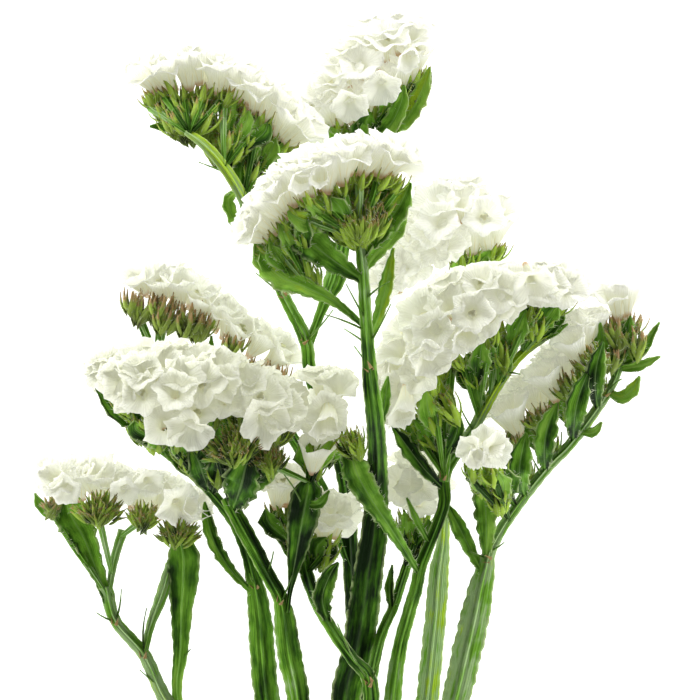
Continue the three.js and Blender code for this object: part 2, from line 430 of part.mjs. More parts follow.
// A winged stem: two waved wings and a rib on a core, which is plain below. The core and the
// rib get stouter with the stem's width, from what the finest stem has.
function stemRing(centre, along, width, wave) {
  const wing = (width / 2) * (1 + wave);
  const otherWing = (width / 2) * (1 - wave);
  const rib = 0.2 * width + 0.75;
  const [valley, shoulder] = [0.14 * width + 0.45, 0.12 * width + 0.35];
  const belly = 0.12 * width + 0.6;
  const upper = [[wing, 0], [valley, shoulder], [0, rib], [-valley, shoulder], [-otherWing, 0]];
  return ringOfPoints(centre, along, [...upper, [0, -belly]]);
}

// A leaf or wedge: a blade with a midrib, waved across and pointed at both ends.
function leafRing(centre, along, width, wave) {
  const half = Math.max(width, SLIMMEST_LEAF) / 2;
  const lift = LEAF_WAVE * wave * width;
  const thick = LEAF_THICKNESS / 2 + 0.02 * width;
  return ringOfPoints(centre, along, [[half, lift], [0, thick], [-half, -lift], [0, -thick]]);
}

function sweep(run, step, ringOf, pointed) {
  const curve = smoothCurve(run);
  const count = Math.max(pointed ? 3 : 2, Math.round(curve.getLength() / step));
  const rings = [];
  for (let i = 0; i <= count; i += 1) {
    const share = i / count;
    const along = curve.getTangent(share);
    const wave = (i % 2 === 0 ? 1 : -1) * STEM_WAVE;
    const isTip = pointed && (i === 0 || i === count);
    const centre = curve.getPoint(share);
    rings.push(isTip ? [centre] : ringOf(centre, along, rowAt(run, share)[3], wave));
  }
  if (!pointed) {
    rings.unshift([middleOf(rings[0])]);
    rings.push([middleOf(rings[rings.length - 1])]);
  }
  return loft(rings);
}
const stemSolid = (run) => sweep(run, STEM_STEP, stemRing, false);
const leafSolid = (run) => sweep(run, LEAF_STEP, leafRing, true);

// A stalk, a bract or a needle: a slim spindle from root to tip, widest at its waist.
function spindle(root, tip, width, thickness, waistShare = 0.45) {
  const along = tip.clone().sub(root).normalize();
  const waist = root.clone().lerp(tip, waistShare);
  const [wide, deep] = [width / 2, thickness / 2];
  return loft([[root], ringOfPoints(waist, along, [[wide, 0], [0, deep], [-wide, 0], [0, -deep]]), [tip]]);
}

// ---- Crests ------------------------------------------------------------------------------
// The frame of a crest at a share of its length: the middle of its core, the way the
// calyces rise, the way along it, and how far the calyces reach.
function crestFrame(crest, share) {
  const brow = rowAt(crest.brow, share);
  const crown = rowAt(crest.crown, share);
  const rise = new THREE.Vector3(crown[0] - brow[0], crown[1] - brow[1], 0);
  const height = rise.length();
  rise.normalize();
  const [z] = rowAt(crest.z.map((value) => [value]), share);
  const centre = new THREE.Vector3(brow[0], brow[1], z).addScaledVector(rise, height * CORE_RISE);
  const along = new THREE.Vector3(rise.y, -rise.x, 0);
  const reach = height * (1 - CORE_RISE) - 1;
  const coreRise = Math.max(SLIMMEST_CORE, reach - CORE_COVER);
  const coreDepth = crest.depth * (0.55 + 0.45 * Math.sin(Math.PI * share));
  return { centre, rise, along, reach, coreRise, coreDepth };
}

const browLength = (crest) => smoothCurve(crest.brow).getLength();

// A calyx: a pleated funnel with a ruffled rim, its point sunk in the core.
function calyx(root, direction, length, seed) {
  const outline = [[0, 0], [CALYX_RIM_RADIUS, length], [0, length * CALYX_THROAT]];
  const profile = outline.map(([radius, height]) => new THREE.Vector2(radius, height));
  const geometry = new THREE.LatheGeometry(profile, CALYX_LOBES * 2);
  const position = geometry.getAttribute('position');
  for (let i = 0; i < position.count; i += 1) {
    const isOnAxis = Math.hypot(position.getX(i), position.getZ(i)) < CALYX_RIM_RADIUS / 2;
    if (isOnAxis) continue;
    const turn = Math.round((Math.atan2(position.getZ(i), position.getX(i)) / Math.PI) * CALYX_LOBES);
    const ruffle = turn % 2 === 0 ? 1 : -1;
    const scale = 1 + RIM_SPREAD * ruffle;
    const lift = RIM_LIFT * length * ruffle;
    position.setXYZ(i, position.getX(i) * scale, position.getY(i) + lift, position.getZ(i) * scale);
  }
  const turnTo = new THREE.Quaternion().setFromUnitVectors(new THREE.Vector3(0, 1, 0), direction);
  const spin = new THREE.Quaternion().setFromAxisAngle(new THREE.Vector3(0, 1, 0), jitter(seed) * Math.PI);
  geometry.applyQuaternion(turnTo.multiply(spin));
  geometry.translate(root.x, root.y, root.z);
  return solidOf(geometry);
}

// The core that the calyces of a crest stand in: a six-sided bar along the brow.
function crestCore(crest) {
  const shares = spread(Math.max(4, Math.round(browLength(crest) / 6)), 0, 1);
  const rings = shares.map((share) => {
    const { centre, rise, coreRise, coreDepth } = crestFrame(crest, share);
    return spread(6, 0, (Math.PI * 5) / 3).map((angle) => centre.clone()
      .addScaledVector(rise, Math.cos(angle) * coreRise)
      .addScaledVector(UP, Math.sin(angle) * coreDepth * 0.8));
  });
  return loft([[middleOf(rings[0])], ...rings, [middleOf(rings[rings.length - 1])]]);
}

// The calyces of a crest, row by row from its back to its front, each row set half a pitch
// on from the one before, and all leaning outwards at the crest's two ends.
function crestCalyces(crest) {
  const alongCount = Math.max(2, Math.round(browLength(crest) / CALYX_PITCH));
  const angles = spread(crest.rows, BACK_ROW, FRONT_ROW);
  const calyces = [];
  angles.forEach((angle, row) => {
    const offset = (row % 2) * 0.5;
    for (let k = 0; k + 2 * offset < alongCount; k += 1) {
      const seed = row * 31 + k * 7;
      const share = (k + 0.5 + offset + 0.12 * jitter(seed)) / alongCount;
      const { centre, rise, along, reach, coreRise, coreDepth } = crestFrame(crest, share);
      const root = centre.clone()
        .addScaledVector(rise, Math.cos(angle) * coreRise * 0.4)
        .addScaledVector(UP, Math.sin(angle) * coreDepth * 0.45);
      const lean = angle * crest.fan;
      const direction = new THREE.Vector3()
        .addScaledVector(rise, Math.cos(lean))
        .addScaledVector(UP, Math.sin(lean))
        .addScaledVector(along, END_LEAN * (2 * share - 1) ** 3 + 0.12 * jitter(seed + 3))
        .normalize();
      const length = Math.max(SHORTEST_CALYX, reach - 0.4 * coreRise) * (1 + 0.06 * jitter(seed + 5));
      calyces.push(calyx(root, direction, length, seed));
    }
  });
  return calyces;
}

// ---- Joining -----------------------------------------------------------------------------
const isClear = (solid, others) => others.every((other) => solid.minGap(other, 2 * CLEARANCE) >= CLEARANCE);

// The joined body: its largest shell, without the join's slivers, loose scraps or sealed hollows.
function joined(solids) {
  const whole = wasm.Manifold.union(solids).asOriginal().simplify(SLIVER);
  const shells = whole.decompose();
  shells.sort((a, b) => b.volume() - a.volume());
  return shells[0];
}

function crestBody(crest, core, others) {
  const calyces = crestCalyces(crest).filter((solid) => isClear(solid, others));
  return joined([core, ...calyces]);
}

// The stalks that fan out from a stem to a crest, and the bracts on them. Each piece that
// would come too near to a neighbour is made shorter, and is left out where that isn't enough.
function stalksOf(crest, stem, others) {
  const solids = [];
  const fitted = (build, full) => {
    const length = FITTED.map((share) => share * full).find((size) => isClear(build(size), others));
    return length === undefined ? [] : [build(length)];
  };
  crest.stalks.forEach(([rootPoint, from, to, count], group) => {
    const root = rootOn(stem, rootPoint);
    spread(count, from, to).forEach((share, k) => {
      const { centre, rise, coreRise, coreDepth } = crestFrame(crest, share);
      const depth = coreDepth * [0.1, 0.7, -0.7][k % 3];
      const seat = centre.clone().addScaledVector(rise, -coreRise - SEAT_GAP).addScaledVector(UP, depth);
      const along = seat.clone().sub(root).normalize();
      const { side } = across(along);
      const stalk = (size) => (
        spindle(root, root.clone().lerp(seat, size), STALK_WIDTH, STALK_THICKNESS, STALK_WAIST));
      solids.push(...fitted(stalk, 1));
      for (let b = 0; b < BRACTS_PER_STALK; b += 1) {
        const foot = root.clone().lerp(seat, b % 2 === 0 ? 0.45 : 0.81);
        const turn = (group * 17 + k * 5 + b) * GOLDEN * 2 * Math.PI;
        const facing = depth < 0 ? -1 : 1;
        const direction = along.clone().addScaledVector(rise, BRACT_RISE)
          .addScaledVector(side, BRACT_SPREAD * Math.cos(turn))
          .addScaledVector(UP, BRACT_SPREAD * facing * Math.abs(Math.sin(turn)))
          .normalize();
        const bract = (size) => (
          spindle(foot, foot.clone().addScaledVector(direction, size), BRACT_WIDTH, BRACT_THICKNESS));
        solids.push(...fitted(bract, BRACT_LENGTH));
      }
    });
  });
  return solids;
}

function stemBody(stem, trunk, others) {
  const leaves = stem.leaves
    .map(([root, ...rest]) => leafSolid([[...rootOn(stem, root).toArray(), root[3]], ...rest]))
    .filter((solid) => isClear(solid, others));
  const needles = stem.needles
    .map(([root, tip]) => [rootOn(stem, root), new THREE.Vector3(...tip)])
    .map(([root, tip]) => spindle(root, tip, NEEDLE_WIDTH, NEEDLE_WIDTH))
    .filter((solid) => isClear(solid, others));
  const stalks = stem.crests.flatMap((name) => stalksOf(CRESTS[name], stem, others));
  return joined([trunk, ...leaves, ...needles, ...stalks]);
}

function meshOf(name, solid, material) {
  const { vertProperties, triVerts, numProp } = solid.getMesh();
  const geometry = new THREE.BufferGeometry();
  geometry.setAttribute('position', new THREE.BufferAttribute(new Float32Array(vertProperties), numProp));
  geometry.setIndex(new THREE.BufferAttribute(new Uint32Array(triVerts), 1));
  geometry.computeVertexNormals();
  const mesh = new THREE.Mesh(geometry, material);
  mesh.name = name;
  return mesh;
}

// ---- The bunch ---------------------------------------------------------------------------
// The cores and the stems are laid first, clear of each other. Then come the calyces, which
// keep clear of what is there, and last the leaves, stalks and bracts between them.
const bunch = new THREE.Group();
const allBut = (table, name) => Object.keys(table).filter((key) => key !== name).map((key) => table[key]);

function eachOf(table, make) {
  return Object.fromEntries(Object.entries(table).map(([name, entry]) => [name, make(entry)]));
}

const cores = eachOf(CRESTS, crestCore);
const trunks = eachOf(STEMS, (stem) => joined(stem.runs.map(stemSolid)));
const bodies = {};
Object.entries(CRESTS).forEach(([name, crest]) => {
  const others = [...allBut(cores, name), ...Object.values(trunks), ...Object.values(bodies)];
  bodies[name] = crestBody(crest, cores[name], others);
});
Object.entries(STEMS).forEach(([name, stem]) => {
  bodies[name] = stemBody(stem, trunks[name], [...allBut(trunks, name), ...Object.values(bodies)]);
});
const leafGreen = { color: 0x5c8a3a, roughness: 0.7, metalness: 0 };
const paperyWhite = { color: 0xf4f3ea, roughness: 0.9, metalness: 0 };
Object.entries(bodies).forEach(([name, solid]) => {
  const onSurface = solid.trimByPlane([0, 0, 1], 0);
  const cutStraight = onSurface.trimByPlane([0, 1, 0], CUT_END_Y + SAW_LOSS);
  const placed = cutStraight.translate(-ORIGIN_X, -ORIGIN_Y, 0);
  bunch.add(meshOf(name, placed, new THREE.MeshStandardMaterial(name in STEMS ? leafGreen : paperyWhite)));
});

export default bunch;
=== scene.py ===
# %% [markdown]
# # A bunch of white statice, laid down
# Statice is an everlasting flower. Its stems have thin waved wings, they fork again and again, and
# each branch ends in a one-sided crest: a row of keeled green bracts below, and a mass of papery
# white calyces above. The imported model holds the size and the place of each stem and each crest.
# This script keeps those places, and puts a finer piece where each packed one is.

# %% The frame
import math

import bpy
import numpy as np
from mathutils import Matrix, Vector


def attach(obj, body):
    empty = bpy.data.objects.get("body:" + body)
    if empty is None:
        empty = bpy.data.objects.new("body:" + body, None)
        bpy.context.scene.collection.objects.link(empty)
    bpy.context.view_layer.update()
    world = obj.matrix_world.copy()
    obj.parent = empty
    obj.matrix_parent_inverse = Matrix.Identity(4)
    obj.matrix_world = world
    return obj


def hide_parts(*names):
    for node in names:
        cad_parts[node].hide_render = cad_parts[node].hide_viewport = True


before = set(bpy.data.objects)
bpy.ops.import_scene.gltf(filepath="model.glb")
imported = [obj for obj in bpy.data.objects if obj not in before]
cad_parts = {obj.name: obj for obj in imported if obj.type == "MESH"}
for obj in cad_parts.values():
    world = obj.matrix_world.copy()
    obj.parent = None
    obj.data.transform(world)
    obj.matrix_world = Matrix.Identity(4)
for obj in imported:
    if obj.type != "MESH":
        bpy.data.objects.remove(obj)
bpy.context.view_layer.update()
bpy.ops.object.select_all(action="DESELECT")
print("packed nodes:", len(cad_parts))

# %% [markdown]
# ## Sizes
# All sizes are in millimetres, which suit a flower, and turn into metres when a mesh is made. The
# tables give places seen from above, in a plan of their own. ORIGIN is the point of the plan where
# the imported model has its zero. The stems' runs go on to one straight cut.

# %% Sizes
MM = 0.001
UP = np.array([0.0, 0.0, 1.0])
ORIGIN = np.array([-2.0, 37.5, 0.0])
CUT_END_Y = -78      # where the stems' runs end in the plan
SAW_LOSS = 0.4       # trimmed off there, so that all ends are cut straight

# %% [markdown]
# ## Where the crests are
# A crest has a brow, where its bracts end, and a crown, where its calyces end. Both are lines of
# points x, y. Its z gives its heights from one end to the other, its depth how thick it is, and its
# fan how far the outer calyces lean out. A stalk has a point on the stem that it grows from, and the
# part of the brow that it feeds. A head is a tuft of bracts: x, y, z, its radius, and for some the
# point that it grows from.

# %% Where the crests are
CRESTS = {
    "calyces_1": {
        "brow": [[-46, 134], [-41, 136.5], [-34, 136.8], [-27, 135.2], [-22, 132], [-18.2, 129],
                 [-15.3, 124.5], [-12, 122.5]],
        "crown": [[-49, 140.5], [-43, 143], [-35, 144], [-27, 143.3], [-21, 140], [-16, 137],
                  [-10.5, 134.5], [-6.3, 128]],
        "z": [29, 30, 29, 27], "depth": 4.5, "fan": 0.42,
        "stalks": [[[-35.5, 125.8, 30], 0.02, 0.4], [[-30, 120, 30], 0.45, 0.62],
                   [[-24.5, 113, 29], 0.7, 0.8], [[-21.4, 105, 28], 0.92, 0.99]],
        "heads": [[-35, 127, 31, 6.6], [-27, 122.6, 31, 6.4]],
    },
    "calyces_2": {
        "brow": [[-7, 128], [-4, 128], [0, 128.8], [5, 131], [9, 134], [13, 138], [17, 141.5]],
        "crown": [[-13, 134], [-8, 140], [-3.5, 146], [0, 151.4], [5, 155], [11, 156], [17.5, 150]],
        "z": [14, 14.4, 14.4, 14], "depth": 6, "fan": 0.9,
        "stalks": [[[0.8, 117, 20], 0.02, 0.5], [[3, 124, 19], 0.6, 0.98]],
    },
    "calyces_3": {
        "brow": [[-19.8, 100.5], [-16.5, 104.5], [-14, 109], [-10.8, 111.8], [-5, 113.2], [0, 116.5],
                 [5.7, 117.5], [11.7, 115.3]],
        "crown": [[-25, 103.5], [-21.5, 110], [-17.5, 116.5], [-12.5, 122.5], [-5.5, 125], [1.5, 126],
                  [8.5, 125.3], [15, 118.5]],
        "z": [58, 61, 63, 63, 61], "depth": 5, "fan": 0.45,
        "stalks": [[[1.9, 103.5, 60], 0.34, 0.98], [[-6, 98, 60], 0.12, 0.26], [[-12, 93, 59], 0.02, 0.04]],
        "heads": [[3, 105.8, 63.4, 6.6]],
    },
    "calyces_4": {
        "brow": [[7, 88], [12, 93], [18, 97], [24, 99], [30, 100], [34, 101]],
        "crown": [[7, 97], [11, 105], [15, 113], [21, 118], [28, 118.5], [34.5, 112]],
        "z": [12.6, 12, 11.8], "depth": 6, "fan": 0.9,
        "stalks": [[[24, 92, 12], 0.62, 0.98]],
    },
    "calyces_5": {
        "brow": [[12, 62], [16, 68], [21, 76], [28, 78.6], [31.5, 82.5], [37.5, 86], [44, 89.5],
                 [48, 88.6]],
        "crown": [[5, 68], [6, 80], [11, 90], [19, 95.5], [27, 98.7], [36, 98.9], [44, 97.2], [50, 93.5]],
        "z": [37, 42, 43, 42, 41], "depth": 7, "fan": 1,
        "stalks": [[[20.8, 50.4, 38], 0.02, 0.3], [[28, 61.5, 41], 0.36, 0.52], [[33, 70.5, 41], 0.6, 0.76],
                   [[38.5, 77.2, 41], 0.84, 0.97]],
        "heads": [[2, 52.6, 50, 8.6, 15.6, 28, 35], [24, 62, 44, 8, 21.2, 55, 40],
                  [33.6, 72.6, 44, 8, 31, 67, 41.6], [39.6, 80, 44, 7.6, 38.5, 77.2, 41.6]],
    },
    "calyces_6a": {
        "brow": [[24, 52], [29.5, 51.5], [35, 53.5]],
        "crown": [[22.7, 58.5], [29, 61], [36, 58.5]],
        "z": [48], "depth": 3.5, "fan": 0.9,
        "stalks": [[[30, 43, 33.5], 0.3, 0.7]],
    },
    "calyces_6b": {
        "brow": [[33, 59.5], [37, 60.4], [41, 63.4], [44.5, 66.8], [48, 70.4], [50.4, 74], [53, 78],
                 [55.2, 81.5]],
        "crown": [[30, 65], [33.5, 68.5], [37.5, 72.5], [41.5, 76.5], [44.5, 80], [47.5, 84], [51, 87],
                  [55, 88]],
        "z": [31, 32, 33, 34], "depth": 3, "fan": 0.9,
        "stalks": [[[39, 45.5, 32], 0.12, 0.12], [[43.6, 51.4, 33], 0.3, 0.36],
                   [[49.6, 57.8, 34], 0.58, 0.6], [[55.4, 65, 35], 0.8, 0.86]],
        "heads": [[36.4, 52, 38, 7.6, 38.4, 45, 32], [43.2, 58.6, 39, 7.8, 43.6, 51.4, 33],
                  [49.6, 66, 40, 7.8, 49.6, 57.8, 34], [54.2, 73, 40, 7.6, 55.4, 65, 35]],
    },
    "calyces_6f": {
        "brow": [[57, 84.5], [60.5, 85.5], [63.5, 84.5]],
        "crown": [[55.5, 88.5], [60, 91], [64.5, 89.5]],
        "z": [34], "depth": 2.4, "fan": 0.9,
        "stalks": [[[60.6, 74.6, 35], 0.1, 0.9]],
        "heads": [[59.4, 77, 37, 8.4], [63.4, 76.6, 37, 7.4], [57.4, 72.4, 37, 7]],
    },
    "calyces_7": {
        "brow": [[-54.4, 70.6], [-50, 67], [-44, 61], [-38, 57.5], [-31, 63.5], [-24, 64.5], [-18, 59.5],
                 [-14, 60]],
        "crown": [[-55.6, 77], [-52, 80], [-46, 81.2], [-38, 81.2], [-31, 79.5], [-22, 76], [-13, 72]],
        "z": [43, 46, 47, 46, 45], "depth": 7, "fan": 1,
        "stalks": [[[-42, 55, 40], 0.02, 0.32], [[-34, 49, 36], 0.42, 0.5], [[-26, 44, 35], 0.6, 0.98]],
        "heads": [[-26, 54.6, 54, 7.4], [-18, 52.4, 48, 5.4]],
    },
    "calyces_8": {
        "brow": [[-48, 89.4], [-42, 88.6], [-38, 86.6], [-32.5, 83.4], [-28, 79.6], [-22, 75.6],
                 [-16, 72.6]],
        "crown": [[-50.5, 97], [-44, 98.8], [-37, 98.5], [-30.5, 92], [-25, 86.5], [-19, 81.5],
                  [-12.8, 76.5]],
        "z": [9.7, 9.3, 9.7], "depth": 4.5, "fan": 0.45,
        "stalks": [],
        "heads": [[-48.6, 82.6, 14, 9.4], [-43.4, 81.2, 14, 10.4], [-42.4, 80.4, 14, 9],
                  [-37.2, 79.6, 14, 9.6], [-34, 79, 14, 9], [-27.4, 75.4, 14, 7.6], [-21.8, 71.4, 14, 5.4],
                  [-16.8, 70, 14, 5.4]],
    },
    "calyces_9": {
        "brow": [[-9, 58], [-5, 57], [-1.2, 60]],
        "crown": [[-9.5, 72], [-5, 77], [-1.6, 74]],
        "z": [40, 40], "depth": 5, "fan": 1,
        "stalks": [[[-9.4, 47, 42], 0.2, 0.7]],
    },
    "calyces_14": {
        "brow": [[-66.8, 46.6], [-65.8, 46.2], [-64.4, 46.6]],
        "crown": [[-67, 53], [-65.8, 54], [-64.4, 53.4]],
        "z": [24], "depth": 2.6, "fan": 0.9,
        "stalks": [],
        "heads": [[-66.2, 43, 27, 3.2]],
    },
    "calyces_10": {
        "brow": [[-62, 43.4], [-59.6, 44.6], [-55, 45], [-51, 41.6], [-45, 42.4], [-40.6, 39.4], [-35, 38]],
        "crown": [[-65, 51], [-61, 53], [-56, 54], [-50, 52.5], [-44, 52], [-36, 50.5], [-30.5, 46]],
        "z": [24, 24, 24], "depth": 4.5, "fan": 0.5,
        "stalks": [],
        "heads": [[-56, 41, 33, 6.6, -55, 28, 22.4], [-46, 40, 33, 4.8], [-38.4, 36.2, 32, 5.8]],
    },
    "calyces_11": {
        "brow": [[-19, 44], [-15.5, 43], [-12, 44]],
        "crown": [[-20, 50], [-15.5, 53], [-11.6, 50]],
        "z": [29], "depth": 3, "fan": 0.9,
        "stalks": [[[-10, 30, 31], 0.4, 0.6]],
    },
    "calyces_12": {
        "brow": [[-8.6, 38], [-5, 35.5], [-1.5, 38]],
        "crown": [[-8.8, 46], [-4.5, 49], [-1, 45]],
        "z": [27], "depth": 3, "fan": 0.9,
        "stalks": [[[-9.4, 28, 31], 0.3, 0.6]],
    },
    "calyces_13": {
        "brow": [[10, 42], [14, 40.5], [19, 43]],
        "crown": [[8, 52], [13, 58.5], [20, 54]],
        "z": [25], "depth": 4, "fan": 0.9,
        "stalks": [[[12.5, 29.5, 27], 0.3, 0.7]],
    },
}
print("crests:", len(CRESTS))

# %% [markdown]
# ## Where the stems are
# A run is one stretch of stem and a leaf is one blade. Both are points x, y, height and width, from
# the root to the end. A needle is a fine leaf at a node: its root and its tip.

